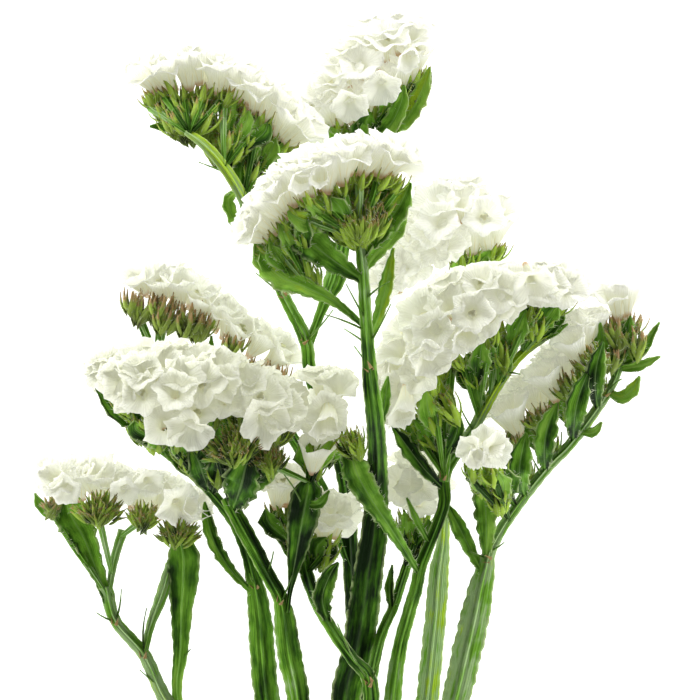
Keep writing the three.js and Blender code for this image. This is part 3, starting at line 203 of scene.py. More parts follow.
# %% Where the stems are
STEMS = {
    "stem_1": {
        "crests": ["calyces_10", "calyces_14"],
        "runs": [
            [[-1.4, CUT_END_Y, 1, 5], [-2.2, -60, 1, 5], [-12, -38, 5, 4.6], [-26, -18, 9, 4.2],
             [-35, -8, 12, 3.8], [-41.4, 0, 15, 3.2], [-46, 9.8, 18, 2.9], [-52.3, 17.3, 20, 2.6],
             [-54.5, 25, 22, 3.2]],
            [[-35, -9, 12, 2.4], [-38, -3, 13.5, 2.2], [-38.7, 3, 15, 2.4], [-37.9, 10, 17, 3.3],
             [-37.6, 20, 19, 5], [-37.2, 27, 21, 6.8], [-37.2, 32, 22.5, 7], [-38.3, 37, 23.5, 3]],
            [[-46, 10, 18, 1.6], [-44.4, 16.7, 19, 2], [-41.8, 23.6, 20, 2.8], [-40, 30, 20, 2.4]],
            [[-53.9, 23, 21.5, 1.2], [-52.6, 31, 22, 1.9], [-50.6, 37.6, 23, 2.2]],
            [[-54, 23, 21.5, 1.2], [-58, 29, 22.6, 1.6], [-62, 35, 23.4, 1.9], [-65.4, 40.4, 24, 1.8]],
        ],
        "leaves": [
            [[-53.5, 21, 21, 2.2], [-55.4, 26, 22, 2.9], [-57.4, 31, 22.8, 4.2], [-59.2, 35.6, 23.4, 5.8],
             [-61.4, 39.6, 24, 7.6], [-62.6, 42, 24.2, 7], [-63.4, 44.4, 24.4, 0.8]],
            [[-66, 39.6, 23.5, 0.5], [-68.6, 42.6, 24, 2.4], [-70.3, 45.9, 24, 0.4]],
            [[-33.5, 29, 22, 0.5], [-36.4, 35, 23, 2], [-34.5, 38.5, 24, 0.4]],
        ],
        "needles": [[[-46, 10, 18.6], [-45.4, 20.2, 20]], [[-52.3, 17, 20.5], [-51, 24.5, 22]],
                    [[-52.4, 17.3, 20], [-56.6, 19.2, 21]], [[-38.2, 6.5, 16], [-35.6, 11, 17]],
                    [[-43.4, 3, 16], [-47, 6.4, 17]]],
    },
    "stem_2": {
        "crests": ["calyces_7", "calyces_9"],
        "runs": [
            [[-1.4, CUT_END_Y, 4.4, 5], [-2.6, -60, 5.6, 5], [-8.6, -42, 12, 5.2], [-15, -20, 17, 5.3],
             [-18.5, 0, 22, 5.6], [-19.5, 10, 24, 5.6], [-20, 17, 25, 5.3], [-20.8, 23.5, 26, 4.4],
             [-22.3, 30, 28, 2.8], [-24.2, 36, 29.5, 2.6], [-26.5, 40.4, 31, 2.5], [-30.3, 45.4, 33.5, 2.4],
             [-34, 49.4, 36, 2.3], [-39, 53.6, 39, 2.2], [-42.4, 56, 40, 2]],
            [[-10, -36, 13.5, 3], [-10.6, -26, 16.5, 4.6], [-10.8, -13, 20, 5], [-11.5, 0, 24, 5],
             [-13.5, 10, 27, 5.3], [-14.5, 17.5, 29.5, 4.8], [-15.5, 22.6, 31, 3.4],
             [-18.2, 27.6, 32.5, 3.3], [-21.5, 34, 34, 3.6], [-24.6, 39.7, 35, 3.6], [-27.4, 45, 36, 3]],
            [[-14, 19.5, 30.5, 1.2], [-13.2, 25, 32, 1.3], [-11.8, 33, 35, 4.4], [-10.4, 41, 38.5, 7],
             [-9.4, 46.5, 41, 6.4], [-9.2, 49, 42.5, 2.4]],
        ],
        "leaves": [
            [[-21.2, 23, 26, 0.9], [-26, 28.2, 27.5, 2], [-29.9, 34.3, 28.6, 2.9], [-31.7, 40, 29.5, 2.6],
             [-32.4, 44, 30, 0.4]],
            [[-34.2, 49.4, 36.4, 1], [-37.4, 52.2, 38.5, 3], [-41.6, 57.8, 41, 2.6], [-43, 60.5, 42, 0.4]],
            [[-42, 55.8, 40, 0.9], [-47, 60.4, 41, 2.6], [-52.6, 64.4, 42, 3], [-56.4, 69.4, 42.5, 0.5]],
            [[-26, 42.4, 36, 1.2], [-24.8, 45.4, 42, 6], [-23.8, 48.6, 46, 8.4], [-23, 52, 48, 6.4],
             [-22, 54.6, 49, 0.8]],
            [[-31, 47, 34.5, 1.2], [-32.6, 50, 41, 5], [-33.6, 53, 45, 6], [-35.4, 56.4, 47, 0.6]],
            [[-29.5, 46.4, 35, 1], [-29.6, 50, 42, 4.6], [-28.8, 54, 46, 4.4], [-28, 57, 48, 0.5]],
            [[-9.6, 43, 40.5, 1], [-6.8, 43.8, 41.5, 2.4], [-4.6, 46.6, 42, 0.4]],
            [[-23.4, 45, 38.5, 1], [-19.2, 49.6, 44, 4], [-14.6, 54.4, 46, 0.4]],
        ],
        "needles": [[[-11, 42, 40.6], [-15.8, 51.6, 43]], [[-15.3, 22, 31.6], [-12.8, 27.6, 34]],
                    [[-20.9, 24.8, 28.4], [-22.4, 28, 30]], [[-18.6, 28, 34], [-17, 33, 36]],
                    [[-34, 49, 36], [-31.6, 53.4, 38]]],
    },
    "stem_3": {
        "crests": ["calyces_3", "calyces_11", "calyces_12", "calyces_13"],
        "runs": [
            [[4, CUT_END_Y, 4.4, 5], [3.8, -60, 5.6, 5.2], [2, -35, 13, 6], [0, -15, 20, 6.4],
             [-0.8, 0, 25, 6.8], [1.5, 10, 28, 7], [3, 20, 31, 7], [4, 28, 34, 6.6], [5.2, 36, 36.5, 6],
             [6, 45, 39.6, 5], [6.1, 53, 47, 4.4], [5.5, 63, 58, 4], [4.6, 70, 61, 3.6], [4, 78, 61.5, 3],
             [3.4, 86, 61.5, 2.8], [2.9, 95, 61.5, 2.6], [2, 104, 61, 2.4]],
            [[1.4, -30, 16, 4], [4.4, -12, 26, 3.8], [4.4, 3.7, 31.6, 3.6], [0.6, 9, 34, 2.8],
             [-3.2, 14.4, 35, 2.7], [-7, 20.9, 34.4, 2.8], [-9.6, 28, 32, 3], [-10.4, 33, 31, 2]],
            [[4.4, 3, 31.4, 2.6], [6.7, 13.6, 30, 2.4], [9.8, 20.9, 29, 2.2], [11.9, 27.4, 27.6, 2.2],
             [13.4, 32, 26.4, 2], [14.6, 35, 25.6, 1.4]],
            [[-15, 93, 59, 1.6], [-8, 91.2, 59.6, 2], [-2.6, 88, 59.6, 1.7], [3.2, 83, 58.4, 1.2]],
        ],
        "leaves": [
            [[2.6, 84.4, 59.4, 1.2], [-3.4, 88.4, 61, 2.2], [-9.7, 91.6, 61.4, 4.2], [-15.4, 94, 61, 6],
             [-19.4, 98, 60, 4.6], [-20.8, 102.4, 59.5, 0.5]],
            [[2.2, 93, 60.6, 1.6], [-3.4, 97.4, 62.4, 5], [-8.4, 101.4, 62.6, 7.6], [-12.6, 105.4, 62, 6.4],
             [-15.4, 108.6, 61.4, 0.6]],
            [[2.6, 99, 60.4, 1.4], [6.6, 104, 61.4, 5], [10.8, 109.4, 61.6, 5.4], [13.4, 114.8, 61, 0.5]],
            [[2.8, 95.4, 60.6, 1.2], [6, 99.6, 61.4, 3.2], [10.6, 104.4, 61.4, 3], [12.4, 108, 61, 0.4]],
            [[4, 78.6, 57.6, 1.1], [6.4, 85.6, 58, 2.4], [8.2, 93, 58.5, 3], [9.6, 100.4, 59, 0.5]],
            [[4.6, 62, 49.6, 1.4], [7.6, 67, 51, 2.8], [8.4, 72, 52.6, 0.4]],
            [[-4.6, 16.6, 35.4, 1.2], [-6.2, 22.6, 37, 4.2], [-4.4, 28, 38, 3.4], [-2.6, 30.6, 38, 0.5]],
            [[9.2, 19.8, 29.2, 0.9], [8.8, 25, 30, 2], [9.4, 30, 30, 0.4]],
            [[-8.8, 27, 32.6, 1.1], [-12, 31.4, 31, 3], [-15.4, 36.4, 29.5, 2.4], [-17, 39.5, 29, 0.4]],
        ],
        "needles": [[[3.6, 84, 59.8], [-0.8, 92.3, 62]], [[3.6, 81.6, 59.4], [-5.5, 85.6, 61]],
                    [[4, 78.6, 58], [-1.3, 82.5, 60]], [[4.2, 79, 58], [9, 87.9, 60]],
                    [[3.2, 88.4, 60], [8.7, 93, 61.5]], [[4.4, 74, 56.8], [1, 78.6, 58.4]],
                    [[0.8, 8.6, 34.4], [-2.8, 17, 37.4]], [[4.8, 4, 32], [7.4, 13, 34]],
                    [[4.4, 4.4, 32.4], [-0.4, 11.4, 37]]],
    },
    "stem_4": {
        "crests": ["calyces_5"],
        "runs": [
            [[9.4, CUT_END_Y, 4.4, 5], [9.8, -60, 5.8, 4.8], [9.6, -35, 14, 4.5], [9.2, -12, 21, 4.2],
             [9.6, 0.8, 24, 3.8], [11.1, 11.4, 26.4, 3.2], [13.2, 19.5, 30, 3], [14.7, 24.7, 33, 2.9],
             [15.7, 29.6, 34.6, 2.8], [17.5, 34.2, 35, 2.6], [19.6, 39.5, 36, 2.6], [21, 44, 36.6, 2.7],
             [21, 50, 36.6, 2.9], [24, 55.4, 34.6, 2.6], [27.6, 60.6, 38, 2.5], [30.1, 65.3, 41.4, 2.5],
             [32.5, 69.5, 42, 2.4], [35.4, 73.7, 42, 2.2], [38.5, 77.2, 41.6, 2], [42.4, 80, 41, 1.8],
             [44.6, 81.2, 40.8, 1.4]],
            [[20.8, 48.6, 38, 2], [21.2, 55, 40, 2.6], [20.9, 60, 41.4, 3.4], [20.2, 64, 42, 2]],
        ],
        "leaves": [
            [[15.6, 28, 35, 1.2], [12.6, 32.6, 38.6, 1.9], [9, 38.2, 43, 3.1], [5.4, 43.6, 46, 4.6],
             [2.4, 48.6, 48, 6], [0.8, 52.4, 48.6, 5.8], [0.2, 56, 48.6, 3.2], [1.2, 60, 48.6, 0.5]],
            [[20.4, 47, 38.4, 1.2], [16.6, 51.4, 39.6, 3], [12.6, 56.6, 40.4, 3.6], [9.4, 61, 41, 0.5]],
            [[17.6, 34.6, 36, 1], [14.8, 40, 38, 1.6], [12.6, 45, 39.6, 0.4]],
            [[42.4, 79.8, 41.4, 1], [45.4, 81.8, 41.6, 1.8], [48.4, 83.6, 41.6, 0.4]],
            [[29.4, 64, 41.8, 1.1], [28.4, 68.6, 43.6, 3.4], [28.8, 73, 44.6, 0.4]],
            [[32.4, 69, 42.4, 1.1], [34.6, 75, 44, 3], [35, 79.6, 44.6, 0.4]],
            [[38.4, 77, 42, 1.1], [40.2, 82, 43.4, 2.8], [41.2, 86, 44, 0.4]],
            [[21.2, 54, 40.4, 1.2], [23.4, 59, 42.4, 3.8], [24.2, 64, 43.4, 0.4]],
            [[42, 79.6, 41, 1], [46, 84, 42, 2.6], [47.6, 87, 42, 0.4]],
        ],
        "needles": [[[21, 50, 38.8], [22.6, 56.2, 42]], [[35, 73, 42.6], [37.8, 72.4, 44]],
                    [[26.6, 59, 40.4], [24.8, 64.4, 43]]],
    },
    "stem_5": {
        "crests": ["calyces_4", "calyces_6a", "calyces_6b", "calyces_6f"],
        "runs": [
            [[9.4, CUT_END_Y, 1, 5], [10.2, -60, 1, 5.2], [15, -32, 7, 6], [20.6, -11, 13, 6.2],
             [23.9, 0.8, 17, 6.3], [26, 10, 20, 6.6], [27.6, 17, 22.4, 6.5], [28.9, 23.4, 24.6, 5.8],
             [30.2, 29, 26.8, 4.2], [31.2, 33, 28, 2.8], [34.3, 38.8, 30, 2.5], [40, 46.8, 32, 2.5],
             [44.8, 52.6, 33, 2.5], [48.7, 56.5, 34, 2.4], [53.6, 62.8, 35, 2.3], [58.2, 69.8, 35, 2],
             [60.6, 76, 35, 1.7]],
            [[14.4, -37, 6.6, 3], [15.4, -18, 9.6, 5], [17.4, 0.8, 12, 5], [18.3, 10, 13, 4.8],
             [19.2, 19, 13.4, 4.7], [19.9, 28, 13.4, 4.4], [21, 37, 13, 2.6], [21.4, 52, 13, 2.2],
             [21.5, 70, 12.4, 2.2], [21.8, 89, 12, 2.2]],
        ],
        "leaves": [
            [[30.2, 31, 28, 1.3], [30.4, 37, 30.6, 3.8], [30.2, 43, 32.4, 5.2], [29.8, 47.4, 33.4, 5],
             [29, 50.4, 34, 0.6]],
            [[29.6, 27.4, 26.8, 1.1], [26.6, 33.6, 28.4, 2.8], [23.8, 39, 29.4, 3.4], [21.2, 44, 30, 0.5]],
            [[38.6, 45.4, 32, 1.2], [37.6, 50, 41, 4.6], [38, 54.6, 43, 4.8], [39.2, 59.4, 42, 0.5]],
            [[43.4, 51, 33, 1.2], [43.2, 56, 42, 4.4], [44, 61, 44, 4.6], [46, 66, 43, 0.5]],
            [[49.4, 58, 34.4, 1.2], [49.8, 63, 43, 4.4], [50.8, 68, 45, 4.6], [53, 73.4, 44, 0.5]],
            [[55, 65, 35, 1.2], [54.4, 70, 43, 4], [54.8, 74.6, 45, 4.2], [56.2, 79.6, 44, 0.5]],
            [[58, 68, 35, 1.2], [60.2, 67.2, 36, 2.8], [62.8, 68.8, 37, 3], [64.4, 72, 37, 0.5]],
            [[59.6, 73, 35.4, 1.1], [56.6, 78, 37, 2.6], [55.4, 84.6, 38, 0.4]],
            [[60.2, 74.6, 35.4, 1.1], [64.6, 77.6, 37, 2.8], [68.8, 84, 38, 0.4]],
            [[60, 73.6, 35, 1], [64.4, 74.4, 36.6, 2.4], [69, 76.4, 37.6, 0.4]],
            [[60.4, 75.4, 35.4, 1.2], [61.4, 80.6, 37.6, 3.6], [62.4, 85.4, 38, 0.4]],
            [[37, 42.6, 31.4, 1], [34.6, 47, 34, 2.6], [34.4, 51.4, 35, 0.4]],
            [[51, 60, 34.6, 1], [54.2, 59.6, 36, 2.2], [56, 61.8, 36.6, 0.4]],
        ],
        "needles": [[[30.4, 31.4, 27.6], [25, 33.4, 28.6]], [[42.6, 50, 33.4], [40.2, 54.4, 37]],
                    [[57.4, 68.6, 35.6], [60.4, 71.4, 37.6]], [[46, 54, 34], [47, 59.6, 37]],
                    [[31, 32.6, 28.6], [34.4, 35, 30.4]]],
    },
    "stem_6": {
        "crests": ["calyces_1", "calyces_2", "calyces_8"],
        "runs": [
            [[4, CUT_END_Y, 1, 5], [4, -60, 1, 5], [3.6, -20, 4.4, 4.4], [2, 5, 7, 4.2],
             [0.5, 26, 9.6, 3.8], [-1.5, 50, 13, 3.2], [-8.5, 71, 19, 2.9], [-9.9, 80, 21.4, 3],
             [-15, 90.4, 24, 2.6], [-21.2, 104, 28.6, 2.6], [-24, 112, 33, 2.6], [-28.4, 119, 37, 2.5],
             [-32.6, 123.6, 38, 2.3], [-36.4, 126.4, 37, 1.6]],
            [[-9.4, 78.6, 20.8, 2], [-6.2, 87, 22.6, 2.3], [-3.6, 93, 23, 4.6], [-2.4, 98, 23, 4],
             [-0.8, 106, 22.4, 2.6], [0.6, 117, 20.4, 2.4], [3.4, 125, 18.6, 2]],
            [[0.3, 29, 10, 2.4], [-6, 46, 12, 2.8], [-14, 60, 12, 2.6], [-21, 68, 12, 2.5],
             [-30, 73.6, 12, 2.3], [-38, 76, 12, 2], [-44.6, 76.8, 12, 1.6]],
        ],
        "leaves": [
            [[-26.2, 115.6, 29.4, 1], [-27.2, 111, 30, 2.6], [-25.4, 106, 30, 2.4],
             [-23, 103.6, 29.6, 0.4]],
            [[-36.2, 126, 30.2, 1.1], [-40.6, 127.4, 31, 2.6], [-44.6, 127.6, 31, 0.4]],
            [[-22.4, 108, 28.6, 1.2], [-19.4, 111, 30.6, 4.8], [-18, 115.6, 31.6, 4.6],
             [-17.2, 119, 31, 0.5]],
            [[-25.8, 114.6, 29.4, 1.2], [-24.2, 118.4, 31.6, 5], [-21.8, 122.8, 32.4, 4.6],
             [-20.4, 126, 32, 0.5]],
            [[-29, 119, 30, 1.2], [-26.4, 123, 31.4, 4], [-23.8, 127.6, 32, 3], [-22.6, 130, 32, 0.4]],
            [[-24.4, 112, 29, 1.2], [-20.6, 115, 30.4, 3.8], [-17.6, 119.4, 31, 3], [-16.6, 122, 31, 0.4]],
            [[1.6, 120, 20.4, 1.4], [-2.6, 123, 21.4, 3.6], [-6.6, 126.4, 21.6, 2.4],
             [-8.6, 128, 21.6, 0.4]],
            [[3, 123.6, 19.4, 1.3], [8.6, 127.6, 20.6, 3.8], [11.4, 133, 21, 3.4], [12, 137, 21, 0.4]],
            [[4.2, 123.6, 18.8, 1.3], [11.6, 128.4, 19, 3.6], [15.6, 134.6, 19.4, 4.2],
             [17.9, 141, 19.6, 0.4]],
            [[-1.6, 101, 23.4, 1.2], [-5.4, 107, 24.6, 2.6], [-7.6, 112.6, 25, 0.4]],
            [[-43.6, 77, 12.4, 1], [-45.4, 80.4, 12, 1.3], [-47, 84, 12, 1.2], [-47.6, 87.6, 12, 0.4]],
            [[-30, 74, 12.4, 1], [-31, 77, 13, 1.8], [-31, 81, 13, 0.4]],
        ],
        "needles": [[[-29, 119, 30], [-33.6, 119.6, 31]], [[-9.4, 80, 22], [-3.8, 86.7, 25]],
                    [[-9.6, 79, 21.6], [-12.6, 86, 25]], [[-15, 90, 24.6], [-21, 95, 26]]],
    },
}
print("runs and leaves:", sum(len(stem["runs"]) + len(stem["leaves"]) for stem in STEMS.values()))

# %% [markdown]
# ## Smooth lines
# A run has few points. A curve through all of them, with no corner, is a Catmull-Rom spline: at
# each point it heads for where the next one lies, seen from the one before. It is worked out here
# for rows of any numbers, so that a stem's width runs as smoothly as its place does. What should
# look irregular takes its numbers from a seed, so that each run of the script gives the same bunch.

# %% Smooth lines
GOLDEN = 0.6180339887


def jitter(seed):
    """A number from -1 to 1 that looks random and is the same in each run."""
    return (seed * GOLDEN) % 1 * 2 - 1


def unit(vector):
    return vector / max(np.linalg.norm(vector), 1e-9)


def spline(rows, share):
    """The smooth line through the rows, read at a share of the way along them."""
    rows = np.asarray(rows, float)
    last = len(rows) - 1
    if last == 0:
        return rows[0]
    place = min(max(share, 0.0), 1.0) * last
    low = min(int(place), last - 1)
    t = place - low
    here, after = rows[low], rows[low + 1]
    before = rows[low - 1] if low > 0 else 2 * here - after
    beyond = rows[low + 2] if low + 2 <= last else 2 * after - here
    leave, arrive = (after - before) / 2, (beyond - here) / 2
    bend = 3 * (after - here) - 2 * leave - arrive
    twist = 2 * (here - after) + leave + arrive
    return here + leave * t + bend * t**2 + twist * t**3


def straight(rows, share):
    """The same, with straight stretches between the rows."""
    rows = np.asarray(rows, float)
    place = share * (len(rows) - 1)
    low = min(int(place), max(len(rows) - 2, 0))
    after = rows[min(low + 1, len(rows) - 1)]
    return rows[low] + (after - rows[low]) * (place - low)


print("halfway along the middle stem:", spline(STEMS["stem_3"]["runs"][0], 0.5).round(1))

# %% [markdown]
# ## Even steps
# A net over a stem wants rows at even steps, however far apart the points lie, so the line is
# measured and read again. At each step the net also needs three ways: along the line, level across
# it, and up from it. The waves of an edge are a ripple: three waves whose lengths don't match.

# %% Even steps
def walk(rows, step):
    """Even steps along the smooth line: its rows there, and how far along each one lies."""
    fine = np.array([spline(rows, share) for share in np.linspace(0, 1, 20 * (len(rows) - 1) + 1)])
    strides = np.linalg.norm(np.diff(fine[:, :3], axis=0), axis=1)
    travelled = np.concatenate([[0], np.cumsum(strides)])
    goals = np.linspace(0, travelled[-1], max(3, round(travelled[-1] / step)) + 1)
    even = np.stack([np.interp(goals, travelled, column) for column in fine.T], axis=1)
    return even, goals


def ways_along(points):
    """For each point of a line: the way along it, the level way across it, and the way up from it."""
    along = np.gradient(points, axis=0)
    along /= np.linalg.norm(along, axis=1)[:, None]
    side = np.cross(UP, along)
    side[np.linalg.norm(side, axis=1) < 0.1] = [1, 0, 0]
    side /= np.linalg.norm(side, axis=1)[:, None]
    return along, side, np.cross(along, side)


def ripple(distance, length, seed):
    """An uneven wave, about as long as told."""
    turns = 2 * math.pi * np.asarray(distance) / length
    phase = 6.28 * jitter(seed)
    return (np.sin(turns + phase) + 0.6 * np.sin(1.63 * turns + 2 * phase) + 0.4 * np.sin(2.7 * turns)) / 2


print("length of the middle stem in mm:", round(walk(STEMS["stem_3"]["runs"][0], 1.0)[1][-1]))

# %% [markdown]
# ## From points to a mesh
# A stem or a leaf is a net of rows and columns, and Blender's grid primitive is such a net. It is
# added with as many squares as needed, and its vertices are laid on the piece's points. A round
# piece is the same net, rolled up: its last column meets its first one, and merging doubles closes
# the seam. The grid's own UV map then says how far across and how far along each point lies, so
# that veins can follow the leaf. An attribute gives each vertex its tone, from dark to light.

# %% From points to a mesh
def to_frame(points):
    """Millimetres in the tables' plan, as metres in the frame."""
    return (np.asarray(points, float) - ORIGIN) * MM


def paint(mesh, name, value):
    """One number for the whole mesh, or one for each vertex, as an attribute."""
    layer = mesh.attributes.get(name) or mesh.attributes.new(name, "FLOAT", "POINT")
    layer.data.foreach_set("value", np.broadcast_to(np.float32(value), len(mesh.vertices)).copy())


def close_roll():
    """Merges a rolled net's seam, fills its two ends, and turns its faces outwards."""
    bpy.ops.object.mode_set(mode="EDIT")
    bpy.ops.mesh.select_all(action="SELECT")
    bpy.ops.mesh.remove_doubles(threshold=1e-7)
    bpy.ops.mesh.fill_holes(sides=0)
    bpy.ops.mesh.select_all(action="SELECT")
    bpy.ops.mesh.normals_make_consistent(inside=False)
    bpy.ops.object.mode_set(mode="OBJECT")


def skin(name, points, across, along, tone, material, rolled):
    """A net over rows of points, with its pattern coordinates and its tone of green."""
    rows, columns = points.shape[:2]
    bpy.ops.mesh.primitive_grid_add(x_subdivisions=columns - 1, y_subdivisions=rows - 1)
    piece = bpy.context.object
    piece.name = name
    mesh = piece.data
    mesh.vertices.foreach_set("co", to_frame(points.reshape(-1, 3)).ravel())
    corners = np.empty(len(mesh.loops), int)
    mesh.loops.foreach_get("vertex_index", corners)
    pattern = np.stack([across.ravel(), along.ravel()], axis=1)[corners]
    mesh.uv_layers[0].data.foreach_set("uv", pattern.ravel())
    paint(mesh, "tone", tone)
    mesh.materials.append(material)
    if rolled:
        close_roll()
    bpy.ops.object.shade_smooth()
    return piece


print("the plan's zero lies in the frame at", to_frame([0, 0, 0]).round(4))

# %% [markdown]
# ## Thickness and joins
# A petal or a leaf is thin but not a plane, since a mesh without thickness has no inside. Solidify
# turns a sheet into a body, and is applied at once. All that belongs together is joined in the end,
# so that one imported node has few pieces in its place.

# %% Thickness and joins
def thicken(piece, thickness):
    """A sheet gets its thickness, half of it on each side."""
    solidify = piece.modifiers.new("thickness", "SOLIDIFY")
    solidify.thickness = thickness
    solidify.offset = 0
    bpy.context.view_layer.objects.active = piece
    bpy.ops.object.modifier_apply(modifier=solidify.name)
    return piece


def join(name, parts):
    """The parts as one piece."""
    bpy.ops.object.select_all(action="DESELECT")
    for part in parts:
        part.select_set(True)
    bpy.context.view_layer.objects.active = parts[0]
    if len(parts) > 1:
        bpy.ops.object.join()
    piece = bpy.context.object
    piece.name = piece.data.name = name
    return piece


# %% [markdown]
# ## Copies and their places
# What repeats is modelled once, at the plan's size, standing on zero with its foot down. Each copy
# takes a mesh of its own, which is turned, sized and moved in the mesh itself.

# %% Copies and their places
def tones_of(mesh):
    tones = np.zeros(len(mesh.vertices), np.float32)
    if "tone" in mesh.attributes:
        mesh.attributes["tone"].data.foreach_get("value", tones)
    return tones


def copy_to(model, place, tone=0.5):
    """A copy of a model, with its own mesh, at its place, all its tones raised by one number."""
    copy = model.copy()
    copy.data = model.data.copy()
    bpy.context.collection.objects.link(copy)
    copy.data.transform(place)
    paint(copy.data, "tone", tone + tones_of(model.data))
    return copy


def placed(foot, direction, facing, size):
    """The place in the frame of a model that is built along +Z and faces +Y, in millimetres."""
    upward = unit(np.asarray(direction, float))
    front = unit(facing - np.dot(facing, upward) * upward)
    turn = Matrix(np.stack([np.cross(front, upward), front, upward], axis=1).tolist()).to_4x4()
    return Matrix.Translation(Vector(to_frame(foot))) @ turn @ Matrix.Scale(size * MM, 4)


print("a placed model's scale:", round(placed([0, 0, 0], [0, 1, 0], UP, 1).to_scale().x, 4))

# %% [markdown]
# ## In place of a imported node
# A finished piece is pressed flat where it dips below the floor, and is then told which body it
# rides on, and the imported node that it stands for is hidden. The models are taken away when the
# last copy is made.

# %% In place of a imported node
def keep_above_floor(piece):
    """What dips below the floor is pressed flat on it."""
    places = np.empty((len(piece.data.vertices), 3), np.float32)
    piece.data.vertices.foreach_get("co", places.ravel())
    places[:, 2] = np.maximum(places[:, 2], 0)
    piece.data.vertices.foreach_set("co", places.ravel())


def dress(piece, node):
    """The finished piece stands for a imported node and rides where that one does."""
    keep_above_floor(piece)
    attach(piece, "root")
    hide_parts(node)


def retire(models):
    for model in models:
        bpy.data.objects.remove(model)


# %% [markdown]
# ## Nodes in one line
# A finish is a tree of small nodes, which is easier to read as a sum than as a drawing. Each helper
# adds one node, feeds it, and hands on the socket that comes out: arithmetic, a blend of two
# colours, and a smooth step from 0 to 1.

# %% Nodes in one line
def add(tree, kind, inputs=(), **settings):
    """A node with its settings. An input is a number or colour, or a socket that it is linked to."""
    made = tree.nodes.new(kind)
    for name, value in settings.items():
        setattr(made, name, value)
    for name, value in dict(inputs).items():
        if isinstance(value, bpy.types.NodeSocket):
            tree.links.new(value, made.inputs[name])
        else:
            made.inputs[name].default_value = value
    return made


def calculate(tree, operation, first, second=0.5, third=0.5):
    made = add(tree, "ShaderNodeMath", {0: first, 1: second, 2: third}, operation=operation)
    return made.outputs[0]


def blend(tree, share, first, second):
    """From the first colour to the second."""
    made = add(tree, "ShaderNodeMix", {0: share, 6: first, 7: second}, data_type="RGBA")
    return made.outputs[2]


def rise(tree, value, low, high):
    """0 below the low value and 1 above the high one."""
    made = add(tree, "ShaderNodeMapRange", {0: value, 1: low, 2: high}, interpolation_type="SMOOTHSTEP")
    return made.outputs[0]


def attribute(tree, name):
    """A number that each vertex carries."""
    return add(tree, "ShaderNodeAttribute", attribute_name=name).outputs["Fac"]


print("helpers that hand on a socket:", [helper.__name__ for helper in (calculate, blend, rise, attribute)])

# %% [markdown]
# ## Three shared effects
# The finishes share three effects, each one a node group that is built once: mottling, which is
# soft noise, lines, which are thin even stripes side by side, and streaks, which are uneven long
# ones. A group only puts out a mask, from 0 to 1. The colours and the shader stay in each material.

# %% Three shared effects
def new_group(name, inputs):
    group = bpy.data.node_groups.new(name, "ShaderNodeTree")
    for title, value in inputs.items():
        socket = group.interface.new_socket(title, in_out="INPUT", socket_type="NodeSocketFloat")
        socket.default_value = value
    group.interface.new_socket("Mask", in_out="OUTPUT", socket_type="NodeSocketFloat")
    return group, group.nodes.new("NodeGroupInput").outputs, group.nodes.new("NodeGroupOutput").inputs["Mask"]


def mottle_group():
    group, given, mask = new_group("mottle", {"Scale": 200, "Contrast": 1})
    place = add(group, "ShaderNodeTexCoord").outputs["Object"]
    noise = add(group, "ShaderNodeTexNoise", {"Vector": place, "Scale": given["Scale"], "Detail": 4})
    centred = calculate(group, "SUBTRACT", noise.outputs[0], 0.5)
    spread = calculate(group, "MULTIPLY_ADD", centred, given["Contrast"], 0.5)
    group.links.new(add(group, "ShaderNodeClamp", {0: spread}).outputs[0], mask)
    return group


def lines_group():
    group, given, mask = new_group("lines", {"Across": 0.5, "Count": 10, "Sharpness": 4})
    turn = calculate(group, "MULTIPLY", given["Across"], given["Count"])
    wave = calculate(group, "PINGPONG", turn, 0.5)
    peak = calculate(group, "MULTIPLY", wave, 2)
    group.links.new(calculate(group, "POWER", peak, given["Sharpness"]), mask)
    return group


def streaks_group():
    group, given, mask = new_group("streaks", {"Across": 0.5, "Along": 0.5, "Count": 12})
    turn = calculate(group, "MULTIPLY", given["Across"], given["Count"])
    place = add(group, "ShaderNodeCombineXYZ", {0: turn, 1: given["Along"]}).outputs[0]
    noise = add(group, "ShaderNodeTexNoise", {"Vector": place, "Scale": 1, "Detail": 3})
    centred = calculate(group, "SUBTRACT", noise.outputs[0], 0.5)
    spread = calculate(group, "MULTIPLY_ADD", centred, 3, 0.5)
    group.links.new(add(group, "ShaderNodeClamp", {0: spread}).outputs[0], mask)
    return group


MOTTLE = mottle_group()
LINES = lines_group()
STREAKS = streaks_group()
print("shared effects:", [group.name for group in (MOTTLE, LINES, STREAKS)])

# %% [markdown]
# ## A new finish
# Every finish starts alike: a shader with its roughness and a little light that passes below the
# skin, and pattern coordinates from the UV map, across and along. Bump is added last.

# %% A new finish
def mottle(tree, scale, contrast):
    return add(tree, "ShaderNodeGroup", {"Scale": scale, "Contrast": contrast}, node_tree=MOTTLE).outputs[0]


def lines(tree, across, count, sharpness):
    inputs = {"Across": across, "Count": count, "Sharpness": sharpness}
    return add(tree, "ShaderNodeGroup", inputs, node_tree=LINES).outputs[0]


def streaks(tree, across, along, count):
    inputs = {"Across": across, "Along": along, "Count": count}
    return add(tree, "ShaderNodeGroup", inputs, node_tree=STREAKS).outputs[0]


def new_material(name, roughness, subsurface):
    material = bpy.data.materials.new(name)
    material.use_nodes = True
    tree = material.node_tree
    shader = tree.nodes["Principled BSDF"]
    shader.inputs["Roughness"].default_value = roughness
    shader.inputs["Subsurface Weight"].default_value = subsurface
    shader.inputs["Subsurface Radius"].default_value = (1.0, 1.0, 0.7)
    shader.inputs["Subsurface Scale"].default_value = 1.5 * MM
    shader.inputs["Specular IOR Level"].default_value = 0.3
    pattern = add(tree, "ShaderNodeSeparateXYZ", {0: add(tree, "ShaderNodeTexCoord").outputs["UV"]})
    print("finish:", name)
    return material, tree, shader, pattern.outputs[0], pattern.outputs[1]


